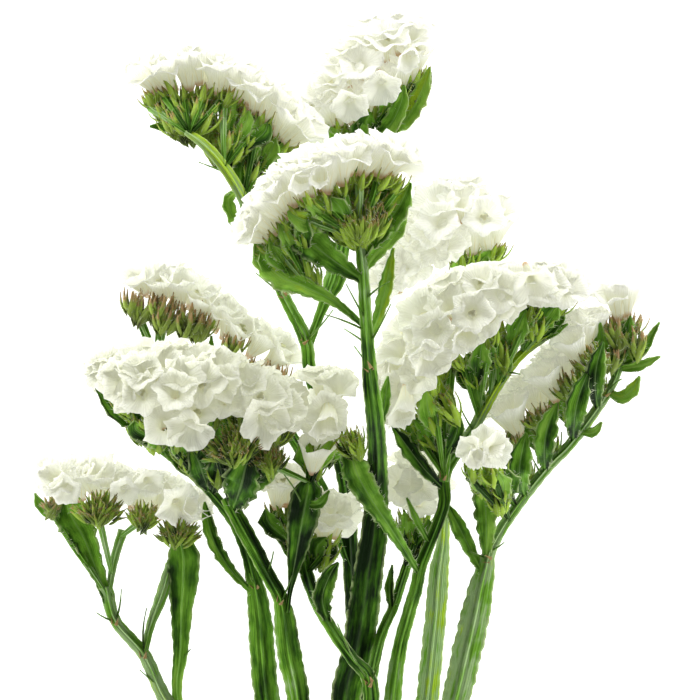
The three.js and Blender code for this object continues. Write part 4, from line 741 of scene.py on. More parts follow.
def bump(tree, shader, height, strength, distance):
    made = add(tree, "ShaderNodeBump", {"Height": height, "Strength": strength, "Distance": distance})
    tree.links.new(made.outputs[0], shader.inputs["Normal"])


# %% [markdown]
# ## Papery calyces
# A statice flower is mostly its calyx, a pleated white funnel as dry as tissue paper. It has ribs,
# which are pinkish brown where they leave the bracts and fade upwards, and fine pleats to its rim.
# Light passes into it, so a little subsurface light keeps its shadows pale, and a painted glow in its
# own colour lifts them further. The tone of each copy is painted light and shade, from 0, a darker
# cream in painted shade, to 1, bright white.

# %% Calyx paper
# Tone 0 paints the paper in shade, a darker cream, and tone 1 is its full white.
PAPER_PAINTED_SHADE, PAPER_PAINTED_HALF_SHADE = (0.51, 0.52, 0.385, 1), (0.58, 0.59, 0.49, 1)
PAPER_WHITE = (0.74, 0.745, 0.67, 1)
PLEAT_SHADE = (0.46, 0.46, 0.31, 1)
THROAT_GREEN = (0.54, 0.56, 0.31, 1)
RIB_TAN = (0.56, 0.5, 0.24, 1)
FOOT_BROWN = (0.4, 0.22, 0.1, 1)
PLEATS, RIBS = 42, 10
PAPER_PAINTED_GLOW = 0.34    # painted glow, in place of light that comes through the paper from behind


def calyx_material():
    material, tree, shader, around, height = new_material("calyx_paper", 0.7, 0.55)
    painted_shade_paper = blend(tree, mottle(tree, 260, 1.6), PAPER_PAINTED_SHADE, PAPER_PAINTED_HALF_SHADE)
    paper = blend(tree, attribute(tree, "tone"), painted_shade_paper, PAPER_WHITE)
    pleats = lines(tree, around, PLEATS, 2.5)
    pleated = blend(tree, calculate(tree, "MULTIPLY", pleats, 0.17), paper, PLEAT_SHADE)
    throat = calculate(tree, "SUBTRACT", 1, rise(tree, height, 0.52, 0.82))
    pleated = blend(tree, calculate(tree, "MULTIPLY", throat, 0.4), pleated, THROAT_GREEN)
    ribs = lines(tree, around, RIBS, 7)
    below = calculate(tree, "SUBTRACT", 1, rise(tree, height, 0.3, 0.66))
    ribbed = blend(tree, calculate(tree, "MULTIPLY", ribs, below), pleated, RIB_TAN)
    foot = calculate(tree, "SUBTRACT", 1, rise(tree, height, 0.04, 0.2))
    footed = blend(tree, calculate(tree, "MULTIPLY", foot, 0.85), ribbed, FOOT_BROWN)
    tree.links.new(footed, shader.inputs["Base Color"])
    # Painted glow: the paper gives off light in its own colour, which lifts its shadows.
    tree.links.new(footed, shader.inputs["Emission Color"])
    shader.inputs["Emission Strength"].default_value = PAPER_PAINTED_GLOW
    shader.inputs["Subsurface Scale"].default_value = 3 * MM
    bump(tree, shader, calculate(tree, "ADD", pleats, mottle(tree, 900, 1)), 0.45, 0.2 * MM)
    return material


CALYX_PAPER = calyx_material()
print("nodes of the paper:", len(CALYX_PAPER.node_tree.nodes))

# %% [markdown]
# ## Stem and leaf green
# Stems and leaves share one recipe. Across the blade it has a pale midrib, long uneven fibres and a
# pale edge that is partly its own colour and partly a painted highlight, and a stem has painted shade
# in a groove on each side of its rib. Its tone runs from 0, the painted shade of a stem in the shadow
# of the others, nearly black, by leaf green and, at 1.3, the blue green of a waxy stem, to the painted
# light of a leaf with light behind it, a yellow green. Each vertex carries its own tone, which holds
# both the green's own colour and painted light and shade.

# %% Stem and leaf green
# SHADED_GREEN is painted shade, and LIT_GREEN is painted light, a leaf with light behind it.
SHADED_GREEN = (0.005, 0.02, 0.002, 1)
DEEP_GREEN = (0.045, 0.145, 0.006, 1)
FULL_GREEN = (0.17, 0.4, 0.03, 1)
LIT_GREEN = (0.4, 0.6, 0.03, 1)
GROOVE_PAINTED_SHADE = (0.004, 0.018, 0.001, 1)
MIDRIB_PALE = (0.28, 0.44, 0.15, 1)
EDGE_PALE_AND_HIGHLIGHT = (0.42, 0.54, 0.22, 1)


def green_material(name, wax, groove_shade_strength, rib_strength, streak_count, contrast):
    material, tree, shader, across, along = new_material(name, 0.45, 0.05)
    tone = attribute(tree, "tone")
    soft = calculate(tree, "MULTIPLY_ADD", mottle(tree, 130, 2), 0.65, -0.32)
    streaked = streaks(tree, across, along, streak_count)
    fibres = calculate(tree, "MULTIPLY_ADD", streaked, contrast, -0.5 * contrast)
    toned = calculate(tree, "ADD", tone, calculate(tree, "ADD", soft, fibres))
    dark = blend(tree, rise(tree, toned, 0, 0.5), SHADED_GREEN, DEEP_GREEN)
    green = blend(tree, rise(tree, toned, 0.35, 0.95), dark, FULL_GREEN)
    waxy = blend(tree, rise(tree, toned, 0.9, 1.3), green, wax)
    lit = blend(tree, rise(tree, toned, 1.4, 1.8), waxy, LIT_GREEN)
    offset = calculate(tree, "ABSOLUTE", calculate(tree, "SUBTRACT", across, 0.5))
    # Painted shade in the groove on each side of a stem's rib, less where the tone is light.
    groove = calculate(tree, "SUBTRACT", rise(tree, offset, 0.05, 0.1), rise(tree, offset, 0.12, 0.26))
    depth = calculate(tree, "MULTIPLY", groove, calculate(tree, "MULTIPLY_ADD", toned, -0.5, 1.0))
    groove_shaded = blend(tree, calculate(tree, "MULTIPLY", depth, groove_shade_strength), lit, GROOVE_PAINTED_SHADE)
    midrib = calculate(tree, "SUBTRACT", 1, rise(tree, offset, 0.01, 0.05))
    ribbed = blend(tree, calculate(tree, "MULTIPLY", midrib, rib_strength), groove_shaded, MIDRIB_PALE)
    # A pale edge, partly the wing's own colour and partly a painted highlight.
    pale_edge_and_highlight = calculate(tree, "MULTIPLY", rise(tree, offset, 0.39, 0.48), mottle(tree, 500, 3))
    tree.links.new(blend(tree, pale_edge_and_highlight, ribbed, EDGE_PALE_AND_HIGHLIGHT), shader.inputs["Base Color"])
    shader.inputs["Specular IOR Level"].default_value = 0.12
    fine_ribs = calculate(tree, "ADD", lines(tree, across, 11, 3), mottle(tree, 1500, 1.5))
    bump(tree, shader, fine_ribs, 0.5, 0.15 * MM)
    return material


STEM_GREEN = green_material("stem_green", (0.35, 0.52, 0.22, 1), 0.55, 0.12, 6, 0.7)
LEAF_GREEN = green_material("leaf_green", (0.3, 0.58, 0.07, 1), 0.1, 0.35, 3, 0.8)
print("nodes of a green:", len(LEAF_GREEN.node_tree.nodes))

# %% [markdown]
# ## Bract green
# A bract is a keeled scale below a calyx. It is a deeper green than a leaf, and its darker foot, where
# the bracts crowd, is painted shade, so it is paler towards its tip. It has a pale keel, which is partly
# its own colour and partly a painted highlight, and papery edges. From the tip it dries to a red brown,
# and an attribute says how far that has gone: a dry one is faded all over, and its tip is longer and
# pinker.

# %% Bract green
BRACT_DARK, BRACT_LIGHT = (0.004, 0.02, 0.001, 1), (0.42, 0.64, 0.06, 1)
KEEL_PALE_AND_HIGHLIGHT = (0.46, 0.62, 0.2, 1)
BRACT_EDGE = (0.3, 0.42, 0.1, 1)
FADED_GREEN = (0.42, 0.42, 0.2, 1)
TIP_BROWN, TIP_PINK = (0.4, 0.22, 0.09, 1), (0.58, 0.31, 0.19, 1)


def bract_material():
    material, tree, shader, across, along = new_material("bract_green", 0.45, 0.06)
    tone = attribute(tree, "tone")
    dry = attribute(tree, "dry")
    toned = calculate(tree, "ADD", tone, calculate(tree, "MULTIPLY_ADD", mottle(tree, 250, 2), 0.8, -0.4))
    # Painted shade: the bract is darker at its foot, where the bracts crowd, and paler towards its tip.
    upward = calculate(tree, "MULTIPLY_ADD", along, 0.35, -0.15)
    green = blend(tree, calculate(tree, "ADD", toned, upward), BRACT_DARK, BRACT_LIGHT)
    offset = calculate(tree, "ABSOLUTE", calculate(tree, "SUBTRACT", across, 0.5))
    # The pale keel is partly its own colour and partly a painted highlight along the ridge.
    keel = calculate(tree, "SUBTRACT", 1, rise(tree, offset, 0.02, 0.1))
    keeled = blend(tree, calculate(tree, "MULTIPLY", keel, 0.4), green, KEEL_PALE_AND_HIGHLIGHT)
    edge = calculate(tree, "MULTIPLY", rise(tree, offset, 0.4, 0.5), 0.35)
    edged = blend(tree, edge, keeled, BRACT_EDGE)
    patchy = calculate(tree, "MULTIPLY_ADD", mottle(tree, 700, 2), 0.3, -0.15)
    uneven = calculate(tree, "ADD", along, patchy)
    faded = blend(tree, calculate(tree, "MULTIPLY", dry, 0.3), edged, FADED_GREEN)
    dried_from = rise(tree, calculate(tree, "MULTIPLY_ADD", dry, 0.22, uneven), 0.74, 1.02)
    tip = calculate(tree, "MULTIPLY", dried_from, 0.8)
    rust = blend(tree, dry, TIP_BROWN, TIP_PINK)
    tree.links.new(blend(tree, tip, faded, rust), shader.inputs["Base Color"])
    shader.inputs["Specular IOR Level"].default_value = 0.1
    fine_ribs = calculate(tree, "ADD", lines(tree, across, 9, 3), mottle(tree, 1500, 1.5))
    bump(tree, shader, fine_ribs, 0.5, 0.12 * MM)
    return material


BRACT_GREEN = bract_material()
print("nodes of the bracts' green:", len(BRACT_GREEN.node_tree.nodes))

# %% [markdown]
# ## Node scales, hairs and petals
# Three small finishes are two colours, mottled together. Where a stem forks it has small tan
# scales. Hairs are nearly white, and the true petals, which stand in the middle of some calyces, are
# a warm cream.

# %% Node scales, hairs and petals
def mottled_material(name, first, second, scale, roughness):
    material, tree, shader, *_ = new_material(name, roughness, 0.15)
    tree.links.new(blend(tree, mottle(tree, scale, 2), first, second), shader.inputs["Base Color"])
    bump(tree, shader, mottle(tree, 4 * scale, 1), 0.3, 0.1 * MM)
    return material


SCALE_BROWN = mottled_material("scale_brown", (0.22, 0.13, 0.04, 1), (0.42, 0.29, 0.12, 1), 500, 0.7)
HAIR_PALE = mottled_material("hair_pale", (0.4, 0.5, 0.24, 1), (0.66, 0.7, 0.5, 1), 400, 0.5)
PETAL_CREAM = mottled_material("petal_cream", (0.74, 0.73, 0.42, 1), (0.84, 0.83, 0.6, 1), 500, 0.6)
print("nodes of the petals' cream:", len(PETAL_CREAM.node_tree.nodes))

# %% [markdown]
# ## The winged stem
# Cut across, a statice stem is a ribbed core with a thin wing on each side and a third one that
# faces up. Each row of the net is one such cut, set square to the run. Only the right half is
# listed: the left half is its mirror image. The cut grows with the stem's width.

# %% A cut across a stem
# The upper half, from the wing's edge to the rib: shares of the wing and of the core across, and
# shares of the shoulder and of the rib up, with a last height in millimetres.
UPPER_CUT = [
    (1, 0, 0, 0, 0), (0.72, 0.28, 0, 0, 0.2), (0.35, 0.65, 0.2, 0, 0.2), (0, 1, 0.6, 0, 0),
    (0, 0.62, 0.95, 0, 0), (0, 0.34, 0.8, 0, 0), (0, 0.15, 0, 0.8, 0), (0, 0, 0, 1, 0),
]
# The lower half: shares of the wing and of the core across, and of the belly down, with a last height.
LOWER_CUT = [(0.72, 0.28, 0, -0.2), (0, 1, 0.5, 0), (0, 0.5, 0.9, 0), (0, 0, 1, 0)]
# Each size of a cut is a share of the stem's width, and a part that even the slimmest stem has.
CORE, SHOULDER, RIB, BELLY = (0.13, 0.42), (0.12, 0.35), (0.2, 0.75), (0.12, 0.6)


def sized(size, width):
    share, least = size
    return share * width + least


def stem_cut(width, core):
    """One cut, as columns of x and z, from the right edge over the rib to the left and back below."""
    wing = width / 2
    shoulder, rib, belly = [sized(size, width) for size in (SHOULDER, RIB, BELLY)]
    upper = [(a * wing + b * core, c * shoulder + d * rib + e) for a, b, c, d, e in UPPER_CUT]
    lower = [(a * wing + b * core, e - c * belly) for a, b, c, e in LOWER_CUT]
    left_upper = [(-x, z) for x, z in upper[-2::-1]]
    left_lower = [(-x, z) for x, z in lower]
    return np.array(upper + left_upper + left_lower + lower[-2::-1] + upper[:1])


print("points of one cut:", len(stem_cut(5, 1)))

# %% [markdown]
# ## The stem's skin
# The wings' edges are crinkled and a little torn. Both come from waves along the stem that grow
# from nothing at the core to their full height at the edge, and each wing has its own. What would
# lie below the floor or beyond the saw's cut is pressed flat there.

# %% The stem's skin
LONG_CRINKLE, SHORT_CRINKLE, TEAR, TOOTH = 4.6, 1.9, 8.0, 2.8     # how long the waves of an edge are
EDGE_PLAY = 0.12         # how far an edge moves, as a share of the stem's width
WIDEST_CORE = 0.42       # the same for the core


def crinkle_wings(cut, edge, width, distance, seed):
    """Waves the two wings of a cut up and down, and in and out."""
    hands = np.sign(cut[:, 0])
    for hand in (1, -1):
        mine = hands == hand
        crinkle = 0.55 * ripple(distance, LONG_CRINKLE, seed + 3 * hand)
        crinkle += 0.45 * ripple(distance, SHORT_CRINKLE, seed + 5 * hand)
        tooth = abs(math.sin(math.pi * distance / TOOTH + hand + 3 * jitter(seed))) - 0.5
        torn = 0.45 * ripple(distance, TEAR, seed + 7 * hand) + 0.8 * tooth
        cut[mine, 1] += (EDGE_PLAY * width * crinkle * edge**1.5)[mine]
        cut[mine, 0] *= 1 + EDGE_PLAY * torn * edge[mine]


def stem_skin(name, run, tone, seed, step=0.7, bulk=1.0, material=STEM_GREEN):
    """A stem along a run. Its tone is one number, or several from its root to its end."""
    rows, distance = walk(run, step)
    _, side, up = ways_along(rows[:, :3])
    points, across = [], []
    for i, width in enumerate(np.maximum(rows[:, 3], 0.5)):
        core = min(sized(CORE, width) * bulk, WIDEST_CORE * width)
        cut = stem_cut(width, core)
        share = cut[:, 0] / (width / 2)
        edge = np.clip((np.abs(share) - core / (width / 2)) / (1 - core / (width / 2) + 0.05), 0, 1)
        crinkle_wings(cut, edge, width, distance[i], seed)
        points.append(rows[i, :3] + cut[:, :1] * side[i] + cut[:, 1:] * up[i])
        across.append(0.5 + 0.5 * share)
    points, across = np.array(points), np.array(across)
    points[:, :, 2] = np.maximum(points[:, :, 2], 0)
    points[:, :, 1] = np.maximum(points[:, :, 1], CUT_END_Y + SAW_LOSS)
    along = np.repeat(distance[:, None] / 10, points.shape[1], axis=1)
    stops = np.atleast_1d(tone)
    tone = np.interp(np.linspace(0, 1, len(rows)), np.linspace(0, 1, len(stops)), stops)
    # Painted light and shade: one wing of the stem is lighter and the other darker.
    tone = (tone[:, None] + 0.25 * jitter(seed + 9) * (2 * across - 1)).ravel()
    return skin(name, points, across, along, tone, material, rolled=True)


print("cuts along the middle stem:", len(walk(STEMS["stem_3"]["runs"][0], 0.7)[0]))

# %% [markdown]
# ## Hairs on the edges
# The edges of leaves carry short stiff hairs. Four of them, thin cones of three sides, are joined
# to one small fringe, and copies of that are set along an edge.

# %% Hairs on the edges
# Each hair: its length, how far it sways along the edge and lifts from it, and where it is rooted.
FRINGE_HAIRS = [(0.9, 0.5, 0.9, 0), (1.5, -0.6, 0.3, 0.5), (0.7, 0.2, 1.1, 1.5), (1.2, 0.8, 0, 2.2)]


def hair_model(middle, way, length, radius):
    """One hair. Its middle lies less than half its length out, so that its root is sunk in."""
    bpy.ops.mesh.primitive_cone_add(
        vertices=3, radius1=radius, radius2=0, depth=length, end_fill_type="NOTHING"
    )
    hair = bpy.context.object
    turn = way.to_track_quat("Z", "Y").to_matrix().to_4x4()
    hair.data.transform(Matrix.Translation(middle) @ turn)
    hair.data.materials.append(HAIR_PALE)
    return hair


def fringe_model():
    """Four hairs in a row along +Z, which stand out towards +Y."""
    hairs = []
    for length, sway, lift, foot in FRINGE_HAIRS:
        way = Vector((sway, 1, lift)).normalized()
        hairs.append(hair_model(Vector((0, 0, foot)) + way * length * 0.45, way, length, 0.08))
    return join("hair_fringe", hairs)


HAIR_FRINGE = fringe_model()
print("faces of one fringe:", len(HAIR_FRINGE.data.polygons))

# %% [markdown]
# ## Leaves
# A leaf is one sheet with a raised midrib. Its halves lift towards the edges as an open book does,
# the edges wave, and the sheet rolls a little about its midrib. Solidify gives it its thickness at
# the end. A needle, a fine leaf at a node, is the same sheet, slim and sagging.

# %% Leaves
LEAF_COLUMNS = np.array([-1, -0.78, -0.5, -0.2, 0, 0.2, 0.5, 0.78, 1.0])
SLIMMEST_LEAF = 0.2
OPEN_BOOK = 0.22                                    # how far the edges lift, as a share of the half width
MIDRIB_HEIGHT = 0.3
LEAF_WAVE, LEAF_CURL, LEAF_NIBBLE = 6.5, 3.6, 3.1   # how long its waves are: up and down, and in and out
FRINGE_SPACING = 2.6


def leaf_fringes(points, along, side, up, step):
    """Fringes of hair along both edges of a leaf."""
    fringes = []
    for edge, hand in ((0, -1), (-1, 1)):
        for i in range(1, len(points) - 1, max(1, round(FRINGE_SPACING / step))):
            place = placed(points[i, edge], along[i], hand * side[i] + 0.4 * up[i], 0.9 + 0.2 * jitter(i))
            fringes.append(copy_to(HAIR_FRINGE, place))
    return fringes


def leaf_skin(name, run, tone, seed, step=0.9, thickness=0.34, hairy=False, crinkle=1.0):
    """A leaf along a run: both edges go up and down together in a wave, and against each other in a curl."""
    rows, distance = walk(run, step)
    half = np.maximum(rows[:, 3], SLIMMEST_LEAF)[:, None] / 2
    along, side, up = ways_along(rows[:, :3])
    roll = 0.3 * jitter(seed)
    side, up = math.cos(roll) * side + math.sin(roll) * up, math.cos(roll) * up - math.sin(roll) * side
    column = LEAF_COLUMNS[None, :]
    wave = 0.17 * crinkle * ripple(distance, LEAF_WAVE, seed)[:, None] * np.abs(column) ** 2
    curl = 0.15 * crinkle * ripple(distance, LEAF_CURL, seed + 2)[:, None] * np.abs(column) ** 2
    curl = curl * np.sign(column)
    lift = half * (OPEN_BOOK * np.abs(column) + wave * 1.6 + curl * 1.6)
    lift = lift + MIDRIB_HEIGHT * (np.abs(column) < 0.1)
    nibble = 0.14 * crinkle * ripple(distance, LEAF_NIBBLE, seed + 4)[:, None] * np.abs(column)
    spread = half * column * (1 + nibble)
    points = rows[:, None, :3] + spread[:, :, None] * side[:, None, :] + lift[:, :, None] * up[:, None, :]
    across = np.repeat(0.5 + 0.5 * column, len(rows), axis=0)
    up_leaf = np.repeat(distance[:, None] / 10, len(LEAF_COLUMNS), axis=1)
    # Painted light and shade: one half of the leaf is lighter and the other darker, as a fold is lit. The
    # leaf is also a little lighter towards its tip.
    painted_half_shade = 0.35 * jitter(seed + 6) * np.sign(column) * np.abs(column) ** 0.4
    tone = (tone + painted_half_shade + 0.15 * np.linspace(-1, 1, len(rows))[:, None]).ravel()
    leaf = thicken(skin(name, points, across, up_leaf, tone, LEAF_GREEN, rolled=False), thickness * MM)
    return join(name, [leaf, *leaf_fringes(points, along, side, up, step)]) if hairy else leaf


def needle_skin(name, root, tip, tone, seed):
    root, tip = np.asarray(root, float), np.asarray(tip, float)
    sag = np.array([0.06 * jitter(seed), 0.06 * jitter(seed + 1), 0.08]) * np.linalg.norm(tip - root)
    shares = [(0, 0, 0.5), (0.3, 1, 0.42), (0.65, 1, 0.3), (1, 0, 0.1)]
    run = [[*(root + (tip - root) * share + sag * bow), width] for share, bow, width in shares]
    return leaf_skin(name, run, tone, seed, step=1.4, thickness=0.2)


print("vertices across a leaf:", len(LEAF_COLUMNS))

# %% [markdown]
# ## One calyx, pulled up like a pot
# A circle is added, then its rim is extruded and widened again and again, as a potter pulls up a
# pot: a slim tube first, then a limb that opens out. The pattern coordinates go once round it and
# up from its foot, and where a face spans the seam they run on past 1.

# %% A plain calyx
CALYX_SIDES = 32
CALYX_LENGTH = 10.0
# Height and radius of each ring as shares of the calyx's length and of its rim's radius.
OPEN_RINGS = [(0, 0.11), (0.36, 0.16), (0.6, 0.25), (0.74, 0.44), (0.84, 0.73), (0.9, 1.0)]
FUNNEL_RINGS = [(0, 0.18), (0.2, 0.34), (0.42, 0.52), (0.66, 0.7), (0.84, 0.87), (0.95, 1.0)]


def pull_up(rings, rim_radius):
    bpy.ops.mesh.primitive_circle_add(vertices=CALYX_SIDES, radius=rings[0][1] * rim_radius)
    model = bpy.context.object
    bpy.ops.object.mode_set(mode="EDIT")
    for (low, narrow), (high, wide) in zip(rings, rings[1:]):
        lift = (0, 0, (high - low) * CALYX_LENGTH)
        bpy.ops.mesh.extrude_edges_move(TRANSFORM_OT_translate={"value": lift})
        bpy.ops.transform.resize(value=(wide / narrow, wide / narrow, 1))
    bpy.ops.object.mode_set(mode="OBJECT")
    return model


def wrap_pattern(mesh, angle, share):
    if not mesh.uv_layers:
        mesh.uv_layers.new(name="UVMap")
    corners = np.empty(len(mesh.loops), int)
    mesh.loops.foreach_get("vertex_index", corners)
    turn = (angle[corners] / (2 * math.pi) + 0.5).reshape(-1, 4)
    seam = (turn.max(axis=1) - turn.min(axis=1)) > 0.5
    turn[seam] = np.where(turn[seam] < 0.5, turn[seam] + 1, turn[seam])
    mesh.uv_layers[0].data.foreach_set("uv", np.stack([turn.ravel(), share[corners]], axis=1).ravel())


print("rings of a calyx:", len(OPEN_RINGS))

# %% [markdown]
# ## Pleats, lobes and a torn rim
# Moving every other line of vertices in and out pleats the paper, slow waves round it draw its rim
# out into five lobes and ruffle it, and the last row of all is a little torn. All of this is nothing
# at the foot and most at the rim. Six open ones, three funnels and one that is rolled up, each with
# other waves, are enough for crests of dozens, because each copy is turned its own way.

# %% Pleats, lobes and a torn rim
def ruffled(places, ruffle, lean, seed):
    """The places after pleating and ruffling, with each one's turn round the calyx and its height."""
    angle = np.arctan2(places[:, 1], places[:, 0])
    radius = np.hypot(places[:, 0], places[:, 1])
    share = places[:, 2] / CALYX_LENGTH
    limb = np.clip((share - 0.4) / 0.53, 0, 1)
    column = np.round(angle / (2 * math.pi) * CALYX_SIDES).astype(int) % CALYX_SIDES
    pleat = np.where(column % 2 == 0, 1, -1)
    torn = np.array([jitter(seed + 7 * c) for c in range(CALYX_SIDES)])[column]
    phase = [6.28 * jitter(seed + k) for k in range(6)]
    lobe = 1.4 - 2 * np.abs(np.sin(2.5 * angle + phase[0])) ** 0.7
    wide = 1 + ruffle * limb**2 * (0.13 * lobe + 0.05 * np.sin(3 * angle + phase[1]))
    wide += 0.02 * pleat * (0.3 + limb) + 0.09 * torn * limb**8
    tall = ruffle * limb**2 * (0.5 * np.sin(5 * angle + phase[2]) + 0.25 * np.sin(3 * angle + phase[3]))
    tall += 0.1 * pleat * limb**2 + 0.34 * torn * limb**8 + 0.5 * lean * np.cos(angle) * limb**2
    swirl = angle + ruffle * limb**2 * 0.07 * np.sin(6 * angle + phase[5])
    places[:, 0] = np.cos(swirl) * radius * wide + lean * limb**2
    places[:, 1] = np.sin(swirl) * radius * wide
    places[:, 2] += tall
    return places, angle, share


def calyx_model(name, rings, rim_radius, ruffle, lean, seed):
    model = pull_up(rings, rim_radius)
    mesh = model.data
    places = np.empty((len(mesh.vertices), 3), np.float32)
    mesh.vertices.foreach_get("co", places.ravel())
    places, angle, share = ruffled(places, ruffle, lean, seed)
    mesh.vertices.foreach_set("co", places.ravel())
    wrap_pattern(mesh, angle, share)
    mesh.materials.append(CALYX_PAPER)
    bpy.ops.object.shade_smooth()
    model.name = name
    return thicken(model, 0.12)


CALYX_MODELS = [
    calyx_model("calyx_open_a", OPEN_RINGS, 5.0, 1.0, 0.0, 11),
    calyx_model("calyx_open_b", OPEN_RINGS, 5.3, 1.2, 0.8, 23),
    calyx_model("calyx_open_c", OPEN_RINGS, 4.8, 1.3, -0.6, 37),
    calyx_model("calyx_open_d", OPEN_RINGS, 5.1, 0.8, 0.5, 41),
    calyx_model("calyx_open_e", OPEN_RINGS, 4.6, 1.1, -0.9, 59),
    calyx_model("calyx_open_f", OPEN_RINGS, 5.2, 1.4, 0.3, 67),
]
CALYX_FUNNELS = [
    calyx_model("calyx_funnel_a", FUNNEL_RINGS, 4.5, 0.7, 0.4, 71),
    calyx_model("calyx_funnel_b", FUNNEL_RINGS, 5.0, 0.9, -0.5, 83),
    calyx_model("calyx_funnel_c", FUNNEL_RINGS, 4.8, 1.1, 0.7, 89),
]
CALYX_ROLLED = calyx_model("calyx_rolled", FUNNEL_RINGS, 3.2, 0.6, 1.6, 97)
CALYX_SHAPES = [*CALYX_MODELS, *CALYX_FUNNELS, CALYX_ROLLED]
print("faces of one calyx:", len(CALYX_MODELS[0].data.polygons))

# %% [markdown]
# ## A petal star
# Inside some calyces the true flower shows: five small cream petals. A filled circle with its
# alternate points drawn in makes the star, and its middle is pushed down.

# %% A petal star
PETAL_REACH = 0.95
STAR_HEIGHT = CALYX_LENGTH * 0.72


def petal_model():
    bpy.ops.mesh.primitive_circle_add(vertices=10, radius=PETAL_REACH, fill_type="TRIFAN")
    model = bpy.context.object
    for vertex in model.data.vertices:
        on_rim = vertex.co.length > 0.3
        turn = math.atan2(vertex.co.y, vertex.co.x)
        if on_rim and round(turn / (2 * math.pi) * 10) % 2 == 1:
            vertex.co *= 0.55
        vertex.co.z = STAR_HEIGHT + (0.35 if on_rim else -0.3)
    model.data.materials.append(PETAL_CREAM)
    bpy.ops.object.shade_smooth()
    model.name = "petal_star"
    return thicken(model, 0.2)


PETAL_STAR = petal_model()
print("faces of one petal star:", len(PETAL_STAR.data.polygons))

# %% [markdown]
# ## One bract
# A bract is a small grid, shaped to a boat with a keel and a pointed tip, and it carries short white
# hairs on its keel and its edges. It is the piece that repeats most, so it has few faces.

# %% One bract
BRACT_ROWS, BRACT_COLUMNS = 5, 2
BRACT_LENGTH = 7.6


def bract_point(across, along, length, width, curl):
    """Across from -1 to 1, along from 0 to 1: a boat that bends outwards and ends in a point."""
    half = width / 2 * max(math.sin(math.pi * min(max(along, 0) ** 0.6, 1.0)) ** 0.9, 0.02)
    belly = 0.15 * length * math.sin(math.pi * along) + curl * along**2
    return Vector((half * across, belly - 0.45 * half * abs(across), length * along))


def bract_model(name, length, width, curl, hairs, seed):
    bpy.ops.mesh.primitive_grid_add(x_subdivisions=BRACT_COLUMNS, y_subdivisions=BRACT_ROWS, size=1)
    model = bpy.context.object
    for vertex in model.data.vertices:
        vertex.co = bract_point(2 * vertex.co.x, vertex.co.y + 0.5, length, width, curl)
    model.data.materials.append(BRACT_GREEN)
    bpy.ops.object.shade_smooth()
    model.name = name
    parts = [thicken(model, 0.2)]
    for k in range(hairs):
        across = [0, 1, -1][k % 3]
        foot = bract_point(across, 0.18 + 0.75 * k / max(hairs - 1, 1), length, width, curl)
        way = Vector((0.9 * across + 0.3 * jitter(seed + k), 0.9 - 0.3 * abs(across), 0.7)).normalized()
        parts.append(hair_model(foot + way * 0.6, way, 1.8, 0.1))
    return join(name, parts)


BRISTLE = bract_model("bristle", BRACT_LENGTH, 1.5, 0.3, 2, 5)
print("faces of one bract:", len(BRISTLE.data.polygons))

# %% [markdown]
# ## Spikelets
# Below each calyx the bracts close round each other as a bud does. Four broad ones and two narrow
# ones, turned round one axis, make a spikelet. Three spikelets, spread differently, are enough.

# %% Spikelets
def spikelet_model(name, spread, seed):
    """Bracts round one axis: each with its turn round it, its tilt from it, its size and its tone."""
    broad = bract_model("broad_bract", BRACT_LENGTH, 2.1, 0.5, 6, seed)
    slim = bract_model("slim_bract", BRACT_LENGTH, 1.1, 0.2, 3, seed + 50)
    plan = [
        (broad, 0.15 + spread, 0.1, 1.0, 0.0, 0.15), (broad, 2.2 + spread, 0.22, 0.86, 0.8, -0.2),
        (broad, 4.2 - spread, 0.18, 0.92, 0.3, 0.0), (broad, 5.4 - spread, 0.32, 0.74, 1.4, 0.35),
        (slim, 1.2 + spread, 0.34, 1.0, 0.9, 0.4), (slim, 3.2, 0.28, 1.04, 0.6, -0.1),
    ]
    parts = []
    for model, turn, tilt, size, lift, tone in plan:
        place = Matrix.Rotation(turn, 4, "Z") @ Matrix.Translation((0, 0.5, lift))
        place = place @ Matrix.Rotation(-tilt, 4, "X") @ Matrix.Scale(size, 4)
        parts.append(copy_to(model, place, tone))
    retire([broad, slim])
    return join(name, parts)


SPIKELET_MODELS = [spikelet_model(f"spikelet_{k}", 0.25 * k, 7 * k + 3) for k in range(3)]
print("faces of one spikelet:", len(SPIKELET_MODELS[0].data.polygons))

# %% [markdown]
# ## Node scales
# At each fork two or three papery tan scales clasp the stem. One is a pointed cone, flattened to
# less than half its depth, and three of them round the stem make the collar.

# %% Node scales
SCALE_HEIGHT = 2.4
COLLAR_RADIUS = 0.95


def scale_model():
    parts = []
    for turn, size in ((0.4, 1.0), (2.5, 0.85), (4.6, 0.9)):
        bpy.ops.mesh.primitive_cone_add(vertices=7, radius1=0.6, radius2=0.05, depth=SCALE_HEIGHT)
        scale = bpy.context.object
        scale.data.transform(Matrix.Translation((0, 0, 0.9)))
        scale.data.transform(Matrix.Diagonal((1, 0.45, 1, 1)))
        collar = Matrix.Rotation(turn, 4, "Z") @ Matrix.Translation((0, COLLAR_RADIUS, 0))
        lean = collar @ Matrix.Rotation(-0.3, 4, "X")
        scale.data.transform(lean @ Matrix.Scale(size, 4))
        scale.data.materials.append(SCALE_BROWN)
        parts.append(scale)
    return join("node_scale", parts)


NODE_SCALE = scale_model()
print("faces of one collar of scales:", len(NODE_SCALE.data.polygons))

# %% [markdown]
# ## A crest's own frame
# A crest curves, so at each share of its length it has a frame of its own: where its brow and its
# middle are, which way its calyces rise, which way is along it, and how far the calyces reach.

# %% A crest's own frame
CORE_RISE = 0.3          # where a crest's middle lies, as a share of its height
CORE_COVER = 8.5         # how much of a calyx stands out of the crest's core
SLIMMEST_CORE = 1.2


